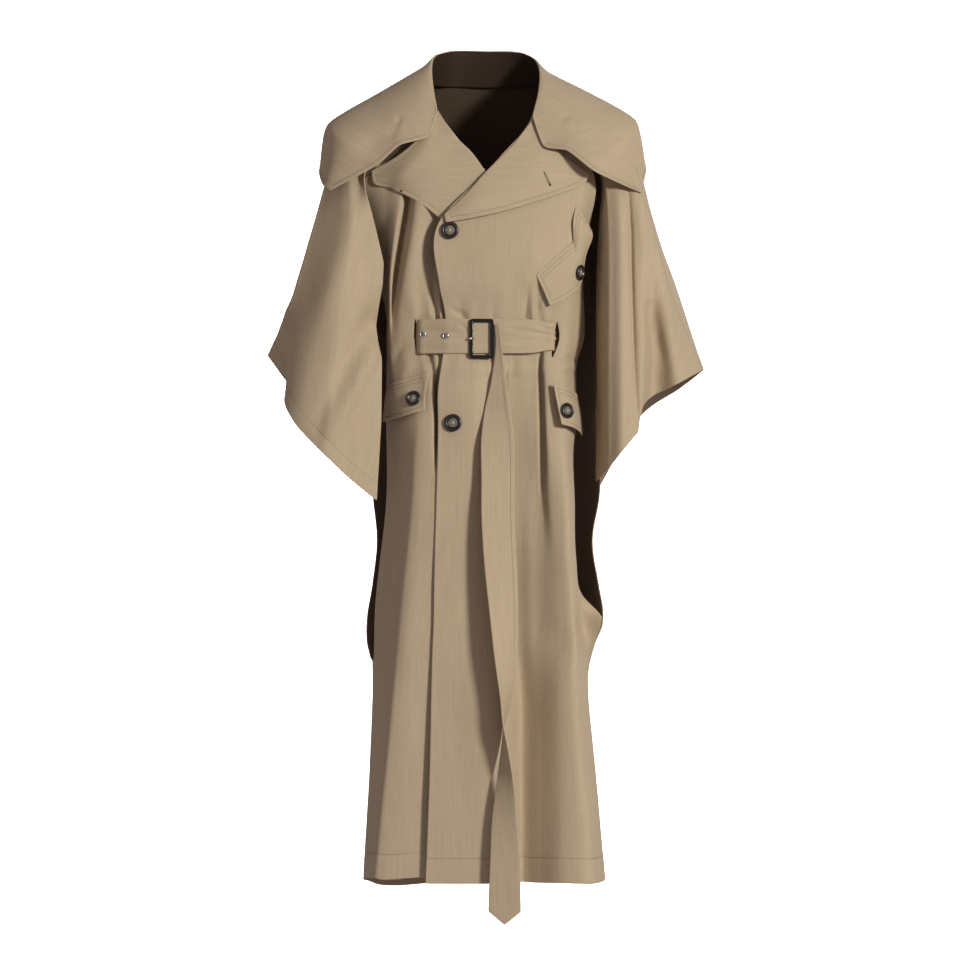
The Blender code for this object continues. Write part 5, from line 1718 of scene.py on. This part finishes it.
# %% Set the eyelets
EYELETS = ((-0.0925, 0.3630), (-0.0592, 0.3660))
EYELET_OUTER = 0.0052
EYELET_HOLE = 0.0026
EYELET_THICK = 0.0012
EYELET_DISC = 0.0004
EYELET_PLAY = 0.0002
EYELET_SIDES = 32
ring_middle = (EYELET_OUTER + EYELET_HOLE) / 2
ring_half = (EYELET_OUTER - EYELET_HOLE) / 2
eyelet_ring = [
    (ring_middle + ring_half * math.cos(turn), EYELET_THICK * max(0.0, math.sin(turn)))
    for turn in np.linspace(math.pi, 0.0, 9)
]
for number, (x, drop) in enumerate(EYELETS, start=1):
    before, after = belt_y(x - EYELET_OUTER), belt_y(x + EYELET_OUTER)
    out = unit(np.array((after - before, -2 * EYELET_OUTER, 0.0)))
    base = np.array((x, belt_y(x) - BELT_LIFT, -drop)) + out * (BELT_WALL / 2 + EYELET_PLAY)
    hole = turned(disc(EYELET_HOLE, EYELET_DISC), base, out, EYELET_SIDES)
    ring = turned(eyelet_ring, base, out, EYELET_SIDES)
    eyelet = add_parts(f"eyelet_ring_{number}", [(*ring, NICKEL), (*hole, HORN_HEART)])
    dress(eyelet, [f"eyelet_{number}"])

# %% [markdown]
# ## Buttons
# Each button is turned from dark horn: a round raised rim, a dished, paler heart and four holes, which are
# dark discs of painted shade. It is sewn on with a cross of pale thread, and a short shank holds it off the
# cloth. Profiles and holes are in shares of the button's radius, so one set serves both sizes.

# %% Turn the buttons
BUTTON_RADIUS = 0.0129
FLAP_BUTTON_RADIUS = 0.0115
BUTTON_PLAY = 0.0004
BUTTON_SIDES = 48
BUTTON_HEART = ((0.00, 0.250), (0.34, 0.250), (0.44, 0.262), (0.50, 0.258), (0.56, 0.222))
BUTTON_PROFILE = (
    (0.56, 0.222), (0.60, 0.250), (0.68, 0.385), (0.76, 0.425), (0.84, 0.430), (0.91, 0.405),
    (0.965, 0.350), (1.00, 0.270), (0.99, 0.190), (0.93, 0.130), (0.80, 0.105), (0.35, 0.100),
    (0.30, 0.000), (0.00, 0.000),
)
HOLE_SPREAD = 0.26
HOLE_RADIUS = 0.085
HOLE_PROFILE = ((0.0, 0.006), (HOLE_RADIUS, 0.006), (HOLE_RADIUS, -0.05), (0.0, -0.05))
HOLE_SIDES = 14
THREAD_OVAL = (0.055, 0.0825)
THREAD_SIDES = 8
THREAD_BOW = 0.075
THREAD_SINK = 0.01
THREAD_PLACES = 9
BUTTONS = (
    # node, the cloth under it, its wall, (x, drop) and radius
    ("button_front_1", left_front, CLOTH_WALL, (-0.0530, 0.2125), BUTTON_RADIUS),
    ("button_front_2", left_front, CLOTH_WALL, (-0.0480, 0.4935), BUTTON_RADIUS),
    ("button_chest", chest, FLAP_WALL, (0.1355, 0.2715), FLAP_BUTTON_RADIUS),
    ("button_pocket_left", left_pocket, FLAP_WALL, (0.1165, 0.4760), FLAP_BUTTON_RADIUS),
    ("button_pocket_right", right_pocket, FLAP_WALL, (-0.1055, 0.4585), FLAP_BUTTON_RADIUS),
)


def sewn_button(node, cloth, wall, spot, radius):
    """A horn button with its holes and its cross of thread, on a piece of cloth at (x, drop)."""
    base, out = spot_on(cloth, *spot)
    base = base + out * (wall / 2 + BUTTON_PLAY)
    side, up = side_and_up(out)

    def sized(profile, place, sides):
        return turned([(r * radius, h * radius) for r, h in profile], place, out, sides)

    parts = [
        (*sized(BUTTON_PROFILE, base, BUTTON_SIDES), HORN),
        (*sized(BUTTON_HEART, base, BUTTON_SIDES), HORN_HEART),
    ]
    face = base + out * BUTTON_HEART[0][1] * radius
    corners = []
    for turn in (0.25, 0.75, 1.25, 1.75):
        spoke = math.cos(turn * math.pi) * side + math.sin(turn * math.pi) * up
        corners.append(face + spoke * HOLE_SPREAD * radius)
        # Each hole is a dark disc of painted shade.
        parts.append((*sized(HOLE_PROFILE, corners[-1], HOLE_SIDES), PAINTED_HOLE_SHADE))
    strand = oval(THREAD_OVAL[0] * radius, THREAD_OVAL[1] * radius, THREAD_SIDES)
    for first, second in ((0, 2), (1, 3)):
        bow = []
        for share in np.linspace(0.0, 1.0, THREAD_PLACES):
            lift = THREAD_BOW * math.sin(math.pi * share) - THREAD_SINK
            across = (corners[second] - corners[first]) * share
            bow.append(corners[first] + across + out * radius * lift)
        parts.append((*swept(bow, strand, False, out), BUTTON_THREAD))
    return dress(add_parts(f"{node}_sewn", parts), [node])


for button in BUTTONS:
    sewn_button(*button)

# %% [markdown]
# ## Buttonholes
# Each lapel has one buttonhole near its end: a worked ring of thread round a narrow slit, and a round eye
# at the end that takes the button's shank. The eye is a dark disc of painted shade.

# %% Work the buttonholes
BUTTONHOLES = {
    "left": ((0.0846, 0.1266), (0.0934, 0.1456)),
    "right": ((-0.1425, 0.1472), (-0.1234, 0.1530)),
}
HOLE_HALF = 0.0011
EYE_RADIUS = 0.0016
EDGE_THREAD = 0.0006
EDGE_SIDES = 6
EDGE_PLACES = 32
EYE_SIDES = 16
HOLE_LIFT = 0.0002
for side, (top, foot) in BUTTONHOLES.items():
    start, out = spot_on(lapels[side], *top)
    stop, _ = spot_on(lapels[side], *foot)
    along = stop - start
    across = unit(np.cross(along, out))
    lift = out * (FLAP_WALL / 2 + HOLE_LIFT)
    ring = []
    for turn in np.linspace(0.0, 2 * math.pi, EDGE_PLACES, endpoint=False):
        spoke = along / 2 * math.cos(turn) + across * HOLE_HALF * math.sin(turn)
        ring.append((start + stop) / 2 + lift + spoke)
    edge = swept(ring, oval(EDGE_THREAD, EDGE_THREAD, EDGE_SIDES), True, out)
    # The eye is a dark disc of painted shade.
    eye = turned(disc(EYE_RADIUS, EDGE_THREAD), stop + lift, out, EYE_SIDES)
    hole = add_parts(f"buttonhole_{side}", [(*edge, THREAD), (*eye, PAINTED_HOLE_SHADE)])
    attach(hole, "root")
    print(f"buttonhole_{side}: {np.linalg.norm(along) * 1000:.1f} mm long")

# %% [markdown]
# ## Stitches
# A row of stitches could be a dashed bump, but up close a thread lies on the cloth and dips into it
# at each end. Each stitch is a small spindle, set along the lines kept above, and all stitches of
# one group are one piece.

# %% Sew
STITCH_LENGTH = 0.0027
STITCH_PITCH = 0.0036
STITCH_RADIUS = 0.00032
STITCH_SIDES = 5
# A stitch's ends and shoulders: shares of its length, then each one's width and height in radii.
STITCH_SHARES = np.array((-0.5, -0.26, 0.26, 0.5))
STITCH_RINGS = ((0.05, -0.6), (1.0, 0.35), (1.0, 0.35), (0.05, -0.6))


def stitches(name, lines):
    """One piece of all the stitches along some lines of (places, outward directions)."""
    places, faces = [], []
    for line, lift in lines:
        run = lengths_along(line, 0)
        for middle in np.arange(STITCH_PITCH / 2, run[-1], STITCH_PITCH):
            spots = on_line(line, run, middle + STITCH_LENGTH * STITCH_SHARES)
            out = unit(on_line(lift, run, middle))
            side = np.cross(unit(spots[-1] - spots[0]), out)
            first = len(places)
            for spot, (size, height) in zip(spots, STITCH_RINGS):
                for k in range(STITCH_SIDES):
                    turn = 2 * math.pi * k / STITCH_SIDES
                    ring = math.cos(turn) * out + math.sin(turn) * side
                    places.append(spot + STITCH_RADIUS * (height * out + size * ring))
            last = first + (len(STITCH_RINGS) - 1) * STITCH_SIDES
            for ring in range(first, last, STITCH_SIDES):
                for k in range(STITCH_SIDES):
                    a, b = ring + k, ring + (k + 1) % STITCH_SIDES
                    faces.append((a, b, b + STITCH_SIDES, a + STITCH_SIDES))
            faces.append(tuple(reversed(range(first, first + STITCH_SIDES))))
            faces.append(tuple(range(last, last + STITCH_SIDES)))
    piece = add_piece(name, places, faces, THREAD)
    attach(piece, "root")
    print(f"{name}: {len(places) // (STITCH_SIDES * len(STITCH_RINGS))} stitches")


for group, lines in stitch_lines.items():
    stitches(f"stitches_{group}", lines)

# %% [markdown]
# ## Studio
# The photograph has a white background. Here a floor curves up into the backdrop with no visible
# line. It stands far behind the coat and low under it, so that the coat can also be looked at from
# behind, and it throws no light of its own on the cloth.

# %% Sweep the floor
FLOOR_DROP = 2.500
SWEEP = ((-9.0, 0.0), (4.8, 0.0), (5.6, 0.12), (6.2, 0.5), (6.6, 1.2), (6.6, 7.0))
SWEEP_HALF = 9.0
PAPER_GRAIN = (0.8, 0.8, 0.8)
PAPER_DARK = (0.86, 0.86, 0.86)
PAPER_LIGHT = (0.90, 0.90, 0.90)
PAPER_ROUGHNESS = 0.9


def sweep_material():
    material, tree, shader = new_material("pale_paper")
    place = tree.nodes.new("ShaderNodeTexCoord").outputs["Object"]
    cloud = stretched_noise(tree, place, PAPER_GRAIN, detail=2.0)
    stops = ((0.2, PAPER_DARK), (0.8, PAPER_LIGHT))
    tree.links.new(ramp(tree, cloud, stops), shader.inputs["Base Color"])
    shader.inputs["Roughness"].default_value = PAPER_ROUGHNESS
    return material


sweep_places, sweep_faces = [], []
for k, (y, rise) in enumerate(SWEEP):
    sweep_places += [(-SWEEP_HALF, y, rise - FLOOR_DROP), (SWEEP_HALF, y, rise - FLOOR_DROP)]
    if k:
        sweep_faces.append((2 * k - 2, 2 * k - 1, 2 * k + 1, 2 * k))
floor = add_piece("studio_sweep", sweep_places, sweep_faces, sweep_material())
floor.visible_diffuse = False
floor.visible_glossy = False
print("floor:", FLOOR_DROP, "m below the shoulders")

# %% [markdown]
# ## Light and room
# A hard key light stands to the viewer's right, a little above the coat, so that every fold throws a
# shadow to the left. The room itself gives most of the fill. A soft light falls on the coat's back,
# and two lights keep the backdrop white. None of them shows in the picture.

# %% Light the coat
LIGHTS = (
    # name, place, aim, (width, height) and power in watts
    ("key", (4.21, -5.39, 0.98), (0.0, 0.0, -0.6), (0.95, 0.95), 410.0),
    ("fill", (-2.6, -3.6, 0.4), (0.0, 0.0, -0.6), (2.4, 2.4), 3.0),
    ("back", (2.4, 4.4, 0.9), (0.0, 0.0, -0.6), (1.5, 1.5), 45.0),
    ("backdrop_left", (-2.5, 3.0, -0.2), (-2.5, 6.6, -0.2), (2.2, 3.2), 340.0),
    ("backdrop_right", (2.5, 3.0, -0.2), (2.5, 6.6, -0.2), (2.2, 3.2), 340.0),
)
ROOM_COLOUR = (1.0, 0.90, 0.97, 1.0)
ROOM_STRENGTH = 0.32


def area_light(name, place, aim, size, power):
    data = bpy.data.lights.new(name, "AREA")
    data.shape = "RECTANGLE"
    data.size, data.size_y = size
    data.energy = power
    light = bpy.data.objects.new(name, data)
    light.location = place
    light.rotation_euler = (Vector(aim) - Vector(place)).to_track_quat("-Z", "Y").to_euler()
    light.visible_camera = False
    bpy.context.scene.collection.objects.link(light)


for light in LIGHTS:
    area_light(*light)
scene = bpy.context.scene
world = bpy.data.worlds.new("studio_room")
world.use_nodes = True
room = world.node_tree.nodes["Background"]
room.inputs["Color"].default_value = ROOM_COLOUR
room.inputs["Strength"].default_value = ROOM_STRENGTH
scene.world = world
scene.view_settings.view_transform = "Standard"
print("lights:", len(LIGHTS))

# %% [markdown]
# ## Camera
# The camera stands level with the middle of the coat, far enough away that the coat hardly tapers.
# At its distance and lens, 1 pixel of the photograph is 1.5 mm on the coat.

# %% Place the camera
CAMERA_PLACE = (-0.009, -5.0, -0.577)
CAMERA_LENS = 125.0
SENSOR_WIDTH = 36.0
camera_data = bpy.data.cameras.new("camera")
camera_data.lens = CAMERA_LENS
camera_data.sensor_width = SENSOR_WIDTH
camera = bpy.data.objects.new("camera", camera_data)
camera.location = CAMERA_PLACE
camera.rotation_euler = (math.pi / 2, 0.0, 0.0)
scene.collection.objects.link(camera)
scene.camera = camera
print("camera:", CAMERA_LENS, "mm lens,", -CAMERA_PLACE[1], "m in front of the coat")

# %% [markdown]
# ## Finish
# The cut of each sheet of cloth is printed.

# %% Print the cuts
for name, size in flat_sizes.items():
    print("cut", name, size)
